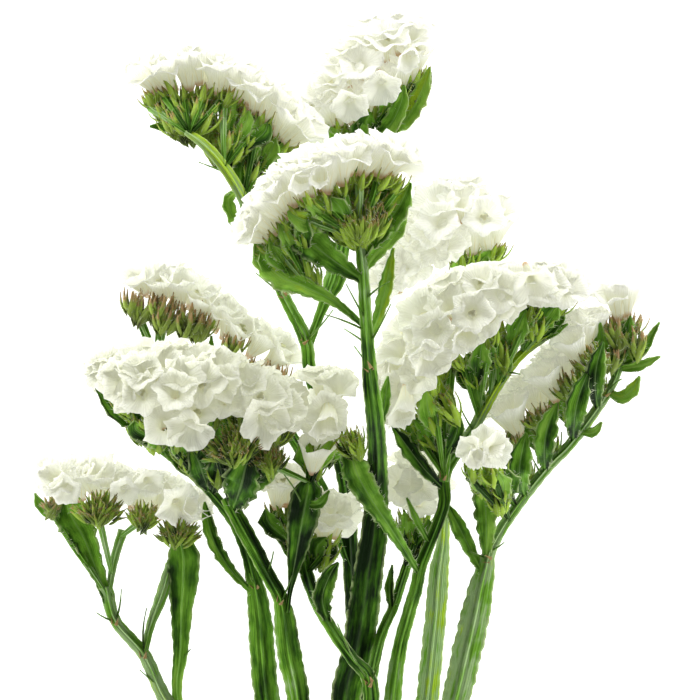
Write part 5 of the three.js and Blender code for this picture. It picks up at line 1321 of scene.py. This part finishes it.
def crest_at(crest, share):
    brow, crown = straight(crest["brow"], share), straight(crest["crown"], share)
    height = np.linalg.norm(crown - brow)
    way = np.append((crown - brow) / height, 0)
    level = straight([[z] for z in crest["z"]], share)[0]
    reach = height * (1 - CORE_RISE) - 1
    return {
        "brow": np.append(brow, level), "way": way, "side": np.array([way[1], -way[0], 0]),
        "centre": np.append(brow, level) + way * height * CORE_RISE, "reach": reach,
        "core": max(SLIMMEST_CORE, reach - CORE_COVER),
        "depth": crest["depth"] * (0.55 + 0.45 * math.sin(math.pi * share)),
    }


def brow_length(crest):
    return np.linalg.norm(np.diff(np.array(crest["brow"], float), axis=0), axis=1).sum()


print("length of the largest brow in mm:", round(brow_length(CRESTS["calyces_5"]), 1))

# %% [markdown]
# ## Rows of calyces
# The calyces stand on a crest in rows, like quills on a ridge. The rows run from its back to its
# front, every other one half a step on, and one more row closes the brow. A crest that
# is parted into tufts draws its calyces together there. Where a brow is seen from the side, its
# calyces lean out less, stand closer, and are funnels. One crest has smaller steps all over.

# %% Rows of calyces
CALYX_SPACING = 6.0
CLOSER_CALYCES = {"calyces_2": 5.1}
BACK_ROW, FRONT_ROW = -1.25, 1.35       # how far round the crest the first and last row stand, in radians
FULL_LEAN = 1.2
# How far the calyces at a brow lean out, in radians, where it is less than the full lean.
BROW_LEAN = {
    "calyces_1": 0.3, "calyces_2": 0.6, "calyces_3": 0.25, "calyces_4": 0.45, "calyces_6b": 0.25,
    "calyces_6f": 0.2, "calyces_8": 0.5, "calyces_10": 0.55, "calyces_11": 0.6, "calyces_12": 0.7,
}
SIDE_VIEW_LEAN = 0.8                    # a brow that leans less than this is seen from the side
SEEN_FROM = {"calyces_4": 0.62}         # the share of the length from which that holds, if not all
BUNCHED = {"calyces_6b": [0.1, 0.34, 0.6, 0.86]}


def crest_rows(name, crest):
    """How many calyces stand in a row, how far it keeps from the ends, and each row's angle."""
    middle, length = crest_at(crest, 0.5), brow_length(crest)
    girth = 2.6 * (middle["reach"] - 1 + 0.45 * middle["depth"])
    spacing = CLOSER_CALYCES.get(name, CALYX_SPACING)
    inset = min(2.2 / length, 0.3)
    count = max(1, round((1 - 2 * inset) * length / spacing))
    rows = max(3, round(girth / spacing))
    return count, inset, [*np.linspace(BACK_ROW, FRONT_ROW, rows), None]


def row_places(name, row, count, inset):
    """For each calyx of a row: its number, its seed, and its share of the crest's length."""
    for k in range(count + 1):
        seed = 31 * row + 7 * k + len(name)
        share = (k + 0.5 * (row % 2) + 0.3 * jitter(seed)) / count
        if not -0.05 <= share <= 1.05:
            continue
        share = inset + (1 - 2 * inset) * min(max(share, 0), 1)
        for tuft in BUNCHED.get(name, []):
            if abs(share - tuft) < 0.13:
                share = tuft + 0.5 * (share - tuft)
        yield k, seed, share


print("rows of the largest crest:", len(crest_rows("calyces_5", CRESTS["calyces_5"])[2]))

# %% [markdown]
# ## One calyx's place
# A calyx is rooted in the crest's core and leans out with its row, and those near a crest's ends
# lean along it too. No two lean, turn or grow quite alike.

# %% One calyx's place
SHORTEST_CALYX = 6
BROW_REACH = 7.6         # how far the calyces at the brow stand out
END_LEAN = 0.35
IN_PLANE = {"calyces_2": 0.7, "calyces_6b": 0.3, "calyces_6f": 0.4, "calyces_11": 0.6}    # shares of the fan
SMALL_CALYCES = {"calyces_8": 0.85, "calyces_10": 0.92}


def calyx_place(name, crest, share, angle, seed):
    """The place of a calyx of a row. With no angle, it is one at the brow."""
    here = crest_at(crest, share)
    if angle is None:
        lean = BROW_LEAN.get(name, FULL_LEAN) if share >= SEEN_FROM.get(name, 0) else FULL_LEAN
        length = BROW_REACH
        root = here["brow"] + here["way"] + UP * here["depth"] * 0.35
    else:
        lean = angle * (crest["fan"] * IN_PLANE.get(name, 1))
        length = max(SHORTEST_CALYX, here["reach"] - 0.4 * here["core"]) - 0.6
        root = here["centre"] + here["way"] * math.cos(angle) * here["core"] * 0.4
        root = root + UP * math.sin(angle) * here["depth"] * 0.45
    lean += 0.14 * jitter(seed + 1)
    way = math.cos(lean) * here["way"] + math.sin(lean) * UP
    way = unit(way + here["side"] * (END_LEAN * (2 * share - 1) ** 3 + 0.16 * jitter(seed + 2)))
    tip = root + way * length * (1 + 0.06 * jitter(seed + 3))
    spin = 3.14 * jitter(seed + 4)
    facing = math.cos(spin) * UP + math.sin(spin) * here["side"]
    size = (0.95 + 0.07 * jitter(seed + 5)) * SMALL_CALYCES.get(name, 1)
    return placed(tip - CALYX_LENGTH * size * way, way, facing, size)


print("a calyx stands out by", SHORTEST_CALYX - 0.6, "mm or more, and at a brow by", BROW_REACH)

# %% [markdown]
# ## Calyces set one by one
# The calyces that catch the eye are set one by one: where the mouth is, which way it faces, its size,
# and its shape, of which 0 to 5 are open, 6 to 8 are funnels and 9 is rolled up.

# %% Calyces set one by one
SINGLED_OUT = {
    "calyces_2": [
        ((0, 131.5, 27), (0, -0.6, 0.8), 0.85, 0), ((7.5, 135.6, 27), (0.1, -0.5, 0.8), 0.85, 3),
        ((14.3, 142, 27), (0.2, -0.5, 0.8), 0.85, 9),
    ],
    "calyces_3": [
        ((-9.6, 114.6, 71), (0.2, -0.45, 0.8), 0.85, 9), ((-5.5, 116, 70), (0.3, -0.1, 0.8), 0.8, 9),
    ],
    "calyces_5": [
        ((12.4, 62.6, 50), (0, -0.8, 0.5), 0.95, 9), ((17.5, 75, 54), (0.2, -0.5, 0.9), 0.95, 2),
        ((27, 80, 54), (0.3, -0.6, 0.8), 1.0, 9), ((41.5, 91.5, 54), (0.3, -0.6, 0.8), 0.95, 1),
    ],
    "calyces_6a": [
        ((25.6, 55, 58.5), (-0.5, -0.3, 0.8), 0.8, 4), ((30.2, 57.6, 58), (0, 0.4, 0.9), 0.85, 0),
        ((33.2, 55.4, 58.6), (0.5, -0.1, 0.8), 0.8, 3), ((29.4, 53.6, 59.5), (0, -0.5, 0.8), 0.8, 9),
    ],
    "calyces_6b": [
        ((34.4, 66.4, 40), (-0.35, 0.8, 0.4), 0.95, 7), ((42.4, 74.2, 41), (-0.35, 0.8, 0.4), 0.95, 6),
        ((48.8, 81.4, 42), (-0.3, 0.85, 0.4), 0.85, 8),
    ],
    "calyces_7": [
        ((-53, 71, 56), (-0.6, -0.3, 0.8), 0.9, 2), ((-47.8, 66.6, 57), (-0.3, -0.5, 0.8), 0.9, 9),
        ((-35.8, 59, 58), (-0.2, -0.6, 0.8), 1.0, 5), ((-17.6, 61.5, 57), (0.3, -0.4, 0.9), 1.1, 1),
    ],
    "calyces_9": [
        ((-4.2, 60, 54), (0.1, -0.7, 0.7), 1.0, 9), ((-7.4, 58, 47), (0.1, 0.85, 0.5), 0.9, 7),
    ],
    "calyces_10": [
        ((-37.4, 42.6, 36), (0.3, -0.3, 0.9), 0.95, 5), ((-33.8, 43, 36), (0.6, 0.1, 0.8), 0.8, 9),
        ((-66.6, 50, 33), (-0.5, 0.3, 0.7), 0.7, 6), ((-63.6, 46.4, 34), (-0.3, -0.3, 0.9), 0.72, 0),
        ((-50, 46, 34), (0, -0.4, 0.9), 0.66, 3), ((-45, 48, 33), (0.1, -0.3, 0.9), 0.7, 4),
    ],
}
SET_BY_HAND_ALONE = ["calyces_6a"]       # a crest of these alone
print("calyces set by hand:", sum(len(calyces) for calyces in SINGLED_OUT.values()))

# %% [markdown]
# ## Whole crests
# The rows are filled with copies, by a rule that takes one model after another. Each crest also has
# its own painted light and shade, darker or brighter, from its start to its end.

# %% Whole crests
# How lit each crest's calyces are painted, at its start and its end: 0 is painted shade, 1 full white.
CREST_PAINTED_LIGHT = {
    "calyces_1": (0.8, 0.6), "calyces_2": (0.7, 0.9), "calyces_3": (0.5, 0.6), "calyces_4": (0.5, 0.9),
    "calyces_5": (0, 0.45), "calyces_6a": (0.1, 0.1), "calyces_6b": (0.2, 0.7), "calyces_6f": (0.8, 1),
    "calyces_8": (0.8, 0.3), "calyces_10": (0.5, 0.2), "calyces_14": (0.6, 0.6),
}


def crest_calyces(name, crest):
    count, inset, angles = crest_rows(name, crest)
    lit_from, lit_to = CREST_PAINTED_LIGHT.get(name, (0, 0))
    parts, petals = [], []
    for row, angle in enumerate([] if name in SET_BY_HAND_ALONE else angles):
        side_view = angle is None and BROW_LEAN.get(name, FULL_LEAN) < SIDE_VIEW_LEAN
        for k, seed, share in row_places(name, row, 2 * count if side_view else count, inset):
            place = calyx_place(name, crest, share, angle, seed)
            models = CALYX_FUNNELS if side_view and share >= SEEN_FROM.get(name, 0) else CALYX_MODELS
            tone = lit_from + (lit_to - lit_from) * share
            parts.append(copy_to(models[(seed * 5 + row) % len(models)], place, tone))
            if (row + k) % 2 == 0:
                petals.append(copy_to(PETAL_STAR, place))
    for mouth, way, size, shape in SINGLED_OUT.get(name, []):
        way = unit(np.array(way, float))
        foot = np.array(mouth, float) - CALYX_LENGTH * size * way
        place = placed(foot, way, -crest_at(crest, 0.5)["way"], size)
        parts.append(copy_to(CALYX_SHAPES[shape], place, (lit_from + lit_to) / 2))
    piece = join(name + "_paper", parts + petals)
    dress(piece, name)
    print(name, "calyces:", len(parts), "petal stars:", len(petals))


for name, crest in CRESTS.items():
    crest_calyces(name, crest)

# %% [markdown]
# ## Heads of bracts
# Where a crest shows its underside, its bracts stand in heads. A round head is single bracts all
# over a half-round cushion, like bristles, and the outer ones spread most. A bud head is a few
# spikelets side by side, nearly upright. The draws come from one seeded generator for each head.

# %% Heads of bracts
ROUND_HEADS = ["calyces_1", "calyces_3", "calyces_7", "calyces_10", "calyces_14"]
UPRIGHT = {"calyces_1": 1.4, "calyces_3": 1.3}      # how far the bracts of a head all point one way
BUD_SPREAD = {"calyces_8": 0.14}                    # how far its spikelets spread, in radians


def round_head(name, centre, radius, tone, seed):
    here, draw = crest_at(CRESTS[name], 0.5), np.random.default_rng(seed)
    upright = UPRIGHT.get(name, 0.6)
    bristles = []
    for _ in range(round((20 - 5 * upright) * radius)):
        swing, shell = draw.uniform(-1.55, 1.55), draw.uniform(0.02, 1) ** 0.5
        outward = math.cos(swing) * here["way"] + math.sin(swing) * here["side"]
        stray = draw.uniform(-0.35, 0.35, 3)
        way = unit(outward * (0.3 + shell) + here["way"] * upright + UP * (1 - shell) + stray)
        tip = centre + outward * radius * shell + UP * 0.4 * radius * (1 - shell**2)
        size = draw.uniform(0.42, 0.68) * (0.8 + 0.33 * upright)
        facing = unit(UP + 0.8 * here["side"] * draw.uniform(-1, 1))
        place = placed(tip - way * BRACT_LENGTH * size, way, facing, size)
        bristles.append(copy_to(BRISTLE, place, draw.uniform(-0.4, 0.4) + tone))
    return bristles


def bud_head(name, centre, radius, tone, seed):
    here, draw = crest_at(CRESTS[name], 0.5), np.random.default_rng(seed)
    buds = []
    for k in range(round(0.55 * radius)):
        offset, rise_up = draw.uniform(-1, 1), draw.uniform(-0.2, 0.4)
        swing = BUD_SPREAD.get(name, 0.3) * offset + draw.uniform(-0.12, 0.12)
        way = unit(here["way"] + swing * here["side"] + rise_up * UP)
        size = draw.uniform(0.75, 1.0)
        tip = centre + way * radius * draw.uniform(0.72, 1) + here["side"] * 0.1 * radius * offset
        place = placed(tip - way * BRACT_LENGTH * size, way, unit(UP + 0.4 * here["side"]), size)
        buds.append(copy_to(SPIKELET_MODELS[k % 3], place, draw.uniform(-0.45, 0.15) + tone))
    return buds


print("crests with heads:", sum("heads" in crest for crest in CRESTS.values()))

# %% [markdown]
# ## Stalks of the heads
# A head stands on one short stalk, from the point of the stem that lies nearest to it, or nearest to
# the point that its row names.

# %% Stalks of the heads
# Tones of the bracts, where they differ from the usual one, and of the heads, where these differ.
USUAL_TONE = 0.55
BRACT_TONES = {
    "calyces_1": 0.75, "calyces_3": 0.85, "calyces_5": 0.72, "calyces_6a": 0.6, "calyces_6b": 0.7,
    "calyces_6f": 0.7, "calyces_7": 0.35, "calyces_9": 0.35, "calyces_11": 0.3, "calyces_12": 0.3,
    "calyces_13": 0.35,
}
HEAD_TONES = {"calyces_1": 0.6, "calyces_3": 0.55}


def nearest_root(stem, point):
    """The place on a stem's runs that lies nearest to a point."""
    places = []
    for run in stem["runs"]:
        shares = np.linspace(0, 1, 10 * (len(run) - 1) + 1)[2:-2]
        places += [spline(run, share)[:3] for share in shares]
    places = np.array(places)
    return places[np.argmin(np.linalg.norm(places - np.asarray(point, float), axis=1))]


def head_greens(name, crest, stem, seed):
    """The stalks of a crest's heads, and the bracts on them."""
    tone = HEAD_TONES.get(name, BRACT_TONES.get(name, USUAL_TONE))
    stalks, bracts = [], []
    for k, (x, y, z, radius, *rooted_at) in enumerate(crest.get("heads", [])):
        centre = np.array([x, y, z], float)
        root = nearest_root(stem, rooted_at or centre)
        make_head, sunk = (round_head, 0.1) if name in ROUND_HEADS else (bud_head, 0.45 * radius)
        seat = centre + sunk * crest_at(crest, 0.5)["way"]
        run = [[*root, 1.0], [*(root + (seat - root) * 0.5), 1.4], [*seat, 1.7]]
        stalks.append(stem_skin("stalk", run, 1.0, seed + k, step=1.7))
        bracts += make_head(name, centre, radius, tone, seed + 17 * k)
    return stalks, bracts


print("heads in all:", sum(len(crest.get("heads", [])) for crest in CRESTS.values()))

# %% [markdown]
# ## Branches to the brow
# From the top of a stem short winged branches fan out to the crest's brow, in three layers. Each one
# ends in a spikelet, carries more of them further back if it is long, and has an ear, a small wavy
# leaf along it, where there is room. A spikelet leans half the way that its branch goes and half
# the way that the calyces rise.

# %% Branches to the brow
SPIKELET_SPACING = {"calyces_1": 1.6, "calyces_3": 1.6, "calyces_5": 2.9, "calyces_6b": 2.3}
LEAFY_PART = {"calyces_1": (0.45, 1), "calyces_3": (0, 0.6)}      # the part of a crest that has ears
PALEST_EAR = 1.25


def ear(name, here, root, seat, goal, way, mark):
    """A small leaf that stands up beside its branch."""
    rise_up = here["side"] * 1.6 * jitter(mark + 6) + UP * 0.8
    start, end = root + (seat - root) * 0.45, goal - 1.8 * way + 1.3 * rise_up
    middle = start + (end - start) * 0.6 + rise_up
    run = [[*start, 1.0], [*middle, 4.2 + 0.9 * jitter(mark + 7)], [*end, 0.4]]
    tone = BRACT_TONES.get(name, USUAL_TONE) + 0.1 + 0.55 * jitter(mark + 8)
    tone += 0.4 if mark % 5 == 0 else 0
    return leaf_skin("ear", run, min(tone, PALEST_EAR), mark, step=1.2, hairy=True, crinkle=1.7)


def spikelet_stops(name, reach, k):
    """Where the spikelets of a branch sit, as shares of its reach back from the brow."""
    stops = [0.0]
    if reach > 9:
        stops.append(0.3)
    if reach > 14 and name != "calyces_5":
        stops.append(0.55)
    if name == "calyces_3" and k % 2 == 0:
        stops.append(0.75)
    return stops


def branch(name, crest, root, share, k, mark):
    """The k-th branch from a root: its greens and its spikelets."""
    here, usual = crest_at(crest, share), BRACT_TONES.get(name, USUAL_TONE)
    layer = [0.9, -0.1, -0.9][k % 3] + 0.2 * jitter(mark)
    goal = here["brow"] + UP * layer * here["depth"] * 0.75 + here["way"] * (0.9 + 0.9 * jitter(mark))
    reach = np.linalg.norm(goal - root)
    way = unit(unit(goal - root) + 0.8 * here["way"] + 0.3 * jitter(mark + 5) * here["side"])
    seat = goal - 4 * way
    greens, spikelets = [], []
    if reach > 7:
        bow = root + (seat - root) * 0.5 + UP * 0.08 * reach * layer
        run = [[*root, 1.0], [*bow, 1.4], [*seat, 2.0 + 0.4 * jitter(mark)]]
        greens.append(stem_skin("stalk", run, usual + 0.35 * jitter(mark + 2), mark, step=2.2))
    leafy_from, leafy_to = LEAFY_PART.get(name, (0, 1))
    if reach > 8 and layer > -0.5 and leafy_from <= share <= leafy_to:
        greens.append(ear(name, here, root, seat, goal, way, mark))
    facing = unit(UP * (1 if layer >= -0.3 else -1) + 0.7 * jitter(mark + 1) * here["side"])
    for deep, back in enumerate(spikelet_stops(name, reach, k)):
        tip = goal - (goal - root) * back + here["side"] * 1.2 * jitter(mark + 9 * deep)
        size = 0.76 + 0.1 * jitter(mark + 3 + deep)
        tone = usual + 0.35 * jitter(mark + 4 + deep) + (0.4 if mark % 4 == 0 else 0)
        place = placed(tip - way * BRACT_LENGTH * size, way, facing, size)
        spikelets.append(copy_to(SPIKELET_MODELS[(mark + deep) % 3], place, tone))
    return greens, spikelets


print("crests that are leafy in part:", list(LEAFY_PART))

# %% [markdown]
# ## All that is green below a crest
# Each stalk's root feeds its own part of the brow with as many branches as fit side by side. How far
# the bracts of the crest have dried is painted on them last, for their finish to read.

# %% All that is green below a crest
DRYNESS = {
    "calyces_1": 0.3, "calyces_3": 0.15, "calyces_6b": 0.3, "calyces_6f": 0.7, "calyces_7": 0.1,
    "calyces_8": 0.85, "calyces_10": 0.15, "calyces_14": 0.6,
}


def crest_greens(name, crest, stem, seed):
    greens, spikelets = head_greens(name, crest, stem, seed)
    length = brow_length(crest)
    margin = 2.4 / length
    for group, (root_point, start, end) in enumerate(crest["stalks"]):
        root = nearest_root(stem, root_point)
        count = max(3, round(((end - start) * length + 5) / SPIKELET_SPACING.get(name, 1.9)))
        for k in range(count):
            share = min(max(start - margin + (end - start + 2 * margin) * (k + 0.5) / count, 0), 1)
            more_greens, more_spikelets = branch(name, crest, root, share, k, seed + 13 * group + 5 * k)
            greens += more_greens
            spikelets += more_spikelets
    for spikelet in spikelets:
        paint(spikelet.data, "dry", DRYNESS.get(name, 0))
    return greens, spikelets


print("driest bracts:", max(DRYNESS, key=DRYNESS.get))

# %% [markdown]
# ## What sets each stem apart
# No two stems of a bunch are alike. A lower run is bulkier than an upper one, a stem that lies in
# the shade of the others is painted a nearly black green as painted shade, and a leaf with light
# behind it is painted yellow green as painted light.

# %% What sets each stem apart
RUN_BULK = {
    "stem_1": [1, 1, 1, 1, 1], "stem_2": [1.2, 1.2, 1], "stem_3": [1.8, 1.3, 1, 1],
    "stem_4": [1.5, 1], "stem_5": [1.2, 1], "stem_6": [1.4, 1, 1],
}
BROAD_WINGS = [("stem_1", 1), ("stem_2", 2)]            # runs as flat and as smooth as a leaf
# A tone for each run, in the order of the table, or several from its root to its end. A tone
# holds the green's own colour and painted light and shade: low tones paint shade, the highest light.
RUN_TONES = {
    "stem_1": [(1.2, 1.3, 1.3, 1.2), (1.3, 1.0, 0.6, 0.5), 1.2, 1.1, 0.9],
    "stem_2": [(0.7, 0.65, 0.5), (0.5, 0.7, 0.4), 0.3],
    "stem_3": [(0.2, 0.2, 0.25, 0.25, 0.2, 0.15, 0.3, 0.6, 1.2), 0.45, 0.7, 0.5],
    "stem_4": [(1.2, 1.2, 1.2, 1.1, 0.7, 0.4, 1.5, 1.9), 0.6],
    "stem_5": [(1.35, 1.35, 1.3, 1.1, 1.2, 1.2), 1.4],
    "stem_6": [(0.3, 0.3, 0.1, 0.0, 0.4, 1.3, 1.8), (0.7, 0.9), 0.5],
}
# Leaves, by their numbers in the table, that have a tone of their own, which holds their green and
# painted light and shade.
LEAF_TONES = {
    "stem_1": {0: 0.75},
    "stem_2": {2: 0.5, 3: 0.35, 4: 0.3, 5: -0.1, 7: 0.25},
    "stem_3": {0: 1.15, 1: 0.75, 2: 0.95, 3: 1.2, 4: 1.5, 6: 0.4},
    "stem_4": {0: 0.8},
    "stem_5": {0: 1.0, 6: 1.35, 8: 1.0, 9: 1.2, 12: 1.2},
    "stem_6": {0: 1.4, 2: 0.6, 3: 0.75, 7: 0.9, 8: 1.5, 11: 0.9},
}
# Needles that stand on a node with scales.
NODES = {
    "stem_1": (0, 1), "stem_2": (1, 2), "stem_3": (5, 7, 8), "stem_4": (0, 1), "stem_5": (0, 2),
    "stem_6": (1, 3),
}
print("nodes with scales:", sum(len(nodes) for nodes in NODES.values()))

# %% [markdown]
# ## Whole stems
# A stem's runs, leaves, needles, stalks and branches are joined to one piece, and its spikelets and
# node scales are two more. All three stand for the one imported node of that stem.

# %% Whole stems
def stem_needles(name, stem, seed):
    """The needles, and the scales of the nodes that they stand on."""
    needles, scales = [], []
    for k, (root, tip) in enumerate(stem["needles"]):
        foot = nearest_root(stem, root)
        needles.append(needle_skin("needle", foot, tip, 0.6, seed + 60 + k))
        way = unit(np.asarray(tip, float) - foot)
        if k in NODES[name]:
            scales.append(copy_to(NODE_SCALE, placed(foot + 0.9 * UP - 0.5 * way, way, UP, 0.8)))
    return needles, scales


def whole_stem(name, stem, seed):
    parts = []
    for k, run in enumerate(stem["runs"]):
        material = LEAF_GREEN if (name, k) in BROAD_WINGS else STEM_GREEN
        bulk = RUN_BULK[name][k]
        parts.append(stem_skin("run", run, RUN_TONES[name][k], seed + k, bulk=bulk, material=material))
    for k, (root, *rest) in enumerate(stem["leaves"]):
        run = [[*nearest_root(stem, root[:3]), root[3]], *rest]
        tone = LEAF_TONES[name].get(k, 0.55 + 0.3 * jitter(seed + 3 * k))
        parts.append(leaf_skin("leaf", run, tone, seed + 20 + k, hairy=True, crinkle=1.4))
    needles, scales = stem_needles(name, stem, seed)
    parts += needles
    bracts = []
    for k, crest_name in enumerate(stem["crests"]):
        greens, spikelets = crest_greens(crest_name, CRESTS[crest_name], stem, seed + 100 * k)
        parts += greens
        bracts += spikelets
    print(name, "leaves:", len(stem["leaves"]), "needles:", len(needles), "spikelets:", len(bracts))
    for ending, pieces in (("_green", parts), ("_bracts", bracts), ("_scales", scales)):
        dress(join(name + ending, pieces), name)


for k, (name, stem) in enumerate(STEMS.items()):
    whole_stem(name, stem, 40 * k + 5)
retire([*CALYX_SHAPES, PETAL_STAR, BRISTLE, *SPIKELET_MODELS, NODE_SCALE, HAIR_FRINGE])

# %% [markdown]
# ## Floor and light
# The bunch lies on a plain white sheet under four broad soft lights that stand low round it, so
# that the calyces' folds show. The sheet glows a little, which keeps it a clean white.

# %% Floor and light
FLOOR_GLOW = 0.75
LIGHT_SIZE = 0.8
# Each light's place in metres and its power in watts.
LIGHTS = {
    "light_left": ((-1.2, 0.5, 0.24), 20),
    "light_right": ((1.2, 0.3, 0.22), 14),
    "light_top": ((0.1, 1.3, 0.22), 16),
    "light_low": ((0.1, -1.2, 0.22), 10),
}


def floor():
    bpy.ops.mesh.primitive_plane_add(size=6)
    sheet = bpy.context.object
    sheet.name = "floor"
    material, tree, shader, *_ = new_material("floor_white", 0.9, 0)
    white = blend(tree, mottle(tree, 3, 0.4), (0.93, 0.93, 0.93, 1), (0.95, 0.95, 0.95, 1))
    tree.links.new(white, shader.inputs["Base Color"])
    shader.inputs["Emission Color"].default_value = (1, 1, 1, 1)
    shader.inputs["Emission Strength"].default_value = FLOOR_GLOW
    sheet.data.materials.append(material)


def soft_light(name, place, power):
    bpy.ops.object.light_add(type="AREA", location=place)
    light = bpy.context.object
    light.name = name
    light.data.size = LIGHT_SIZE
    light.data.energy = power
    light.rotation_euler = (-Vector(place)).to_track_quat("-Z", "Y").to_euler()


floor()
for name, (place, power) in LIGHTS.items():
    soft_light(name, place, power)
world = bpy.data.worlds.new("studio")
bpy.context.scene.world = world
world.use_nodes = True
world.node_tree.nodes["Background"].inputs["Color"].default_value = (1, 1, 1, 1)
world.node_tree.nodes["Background"].inputs["Strength"].default_value = 0.2
print("lights:", len(LIGHTS))

# %% [markdown]
# ## Camera
# The camera looks straight down on the bunch through a very long lens from far away, so that near
# and far crests keep nearly the same size.

# %% Camera
CAMERA_LENS = 1000
CAMERA_HEIGHT = 4.36
VIEW_CENTRE = to_frame([0, 77.8, 0])

bpy.ops.object.camera_add(location=(VIEW_CENTRE[0], VIEW_CENTRE[1], CAMERA_HEIGHT), rotation=(0, 0, 0))
camera = bpy.context.object
camera.data.lens = CAMERA_LENS
camera.data.clip_end = 20
bpy.context.scene.camera = camera
bpy.context.scene.view_settings.view_transform = "Standard"
print("width of the view in mm:", round(camera.data.sensor_width / CAMERA_LENS * CAMERA_HEIGHT / MM))
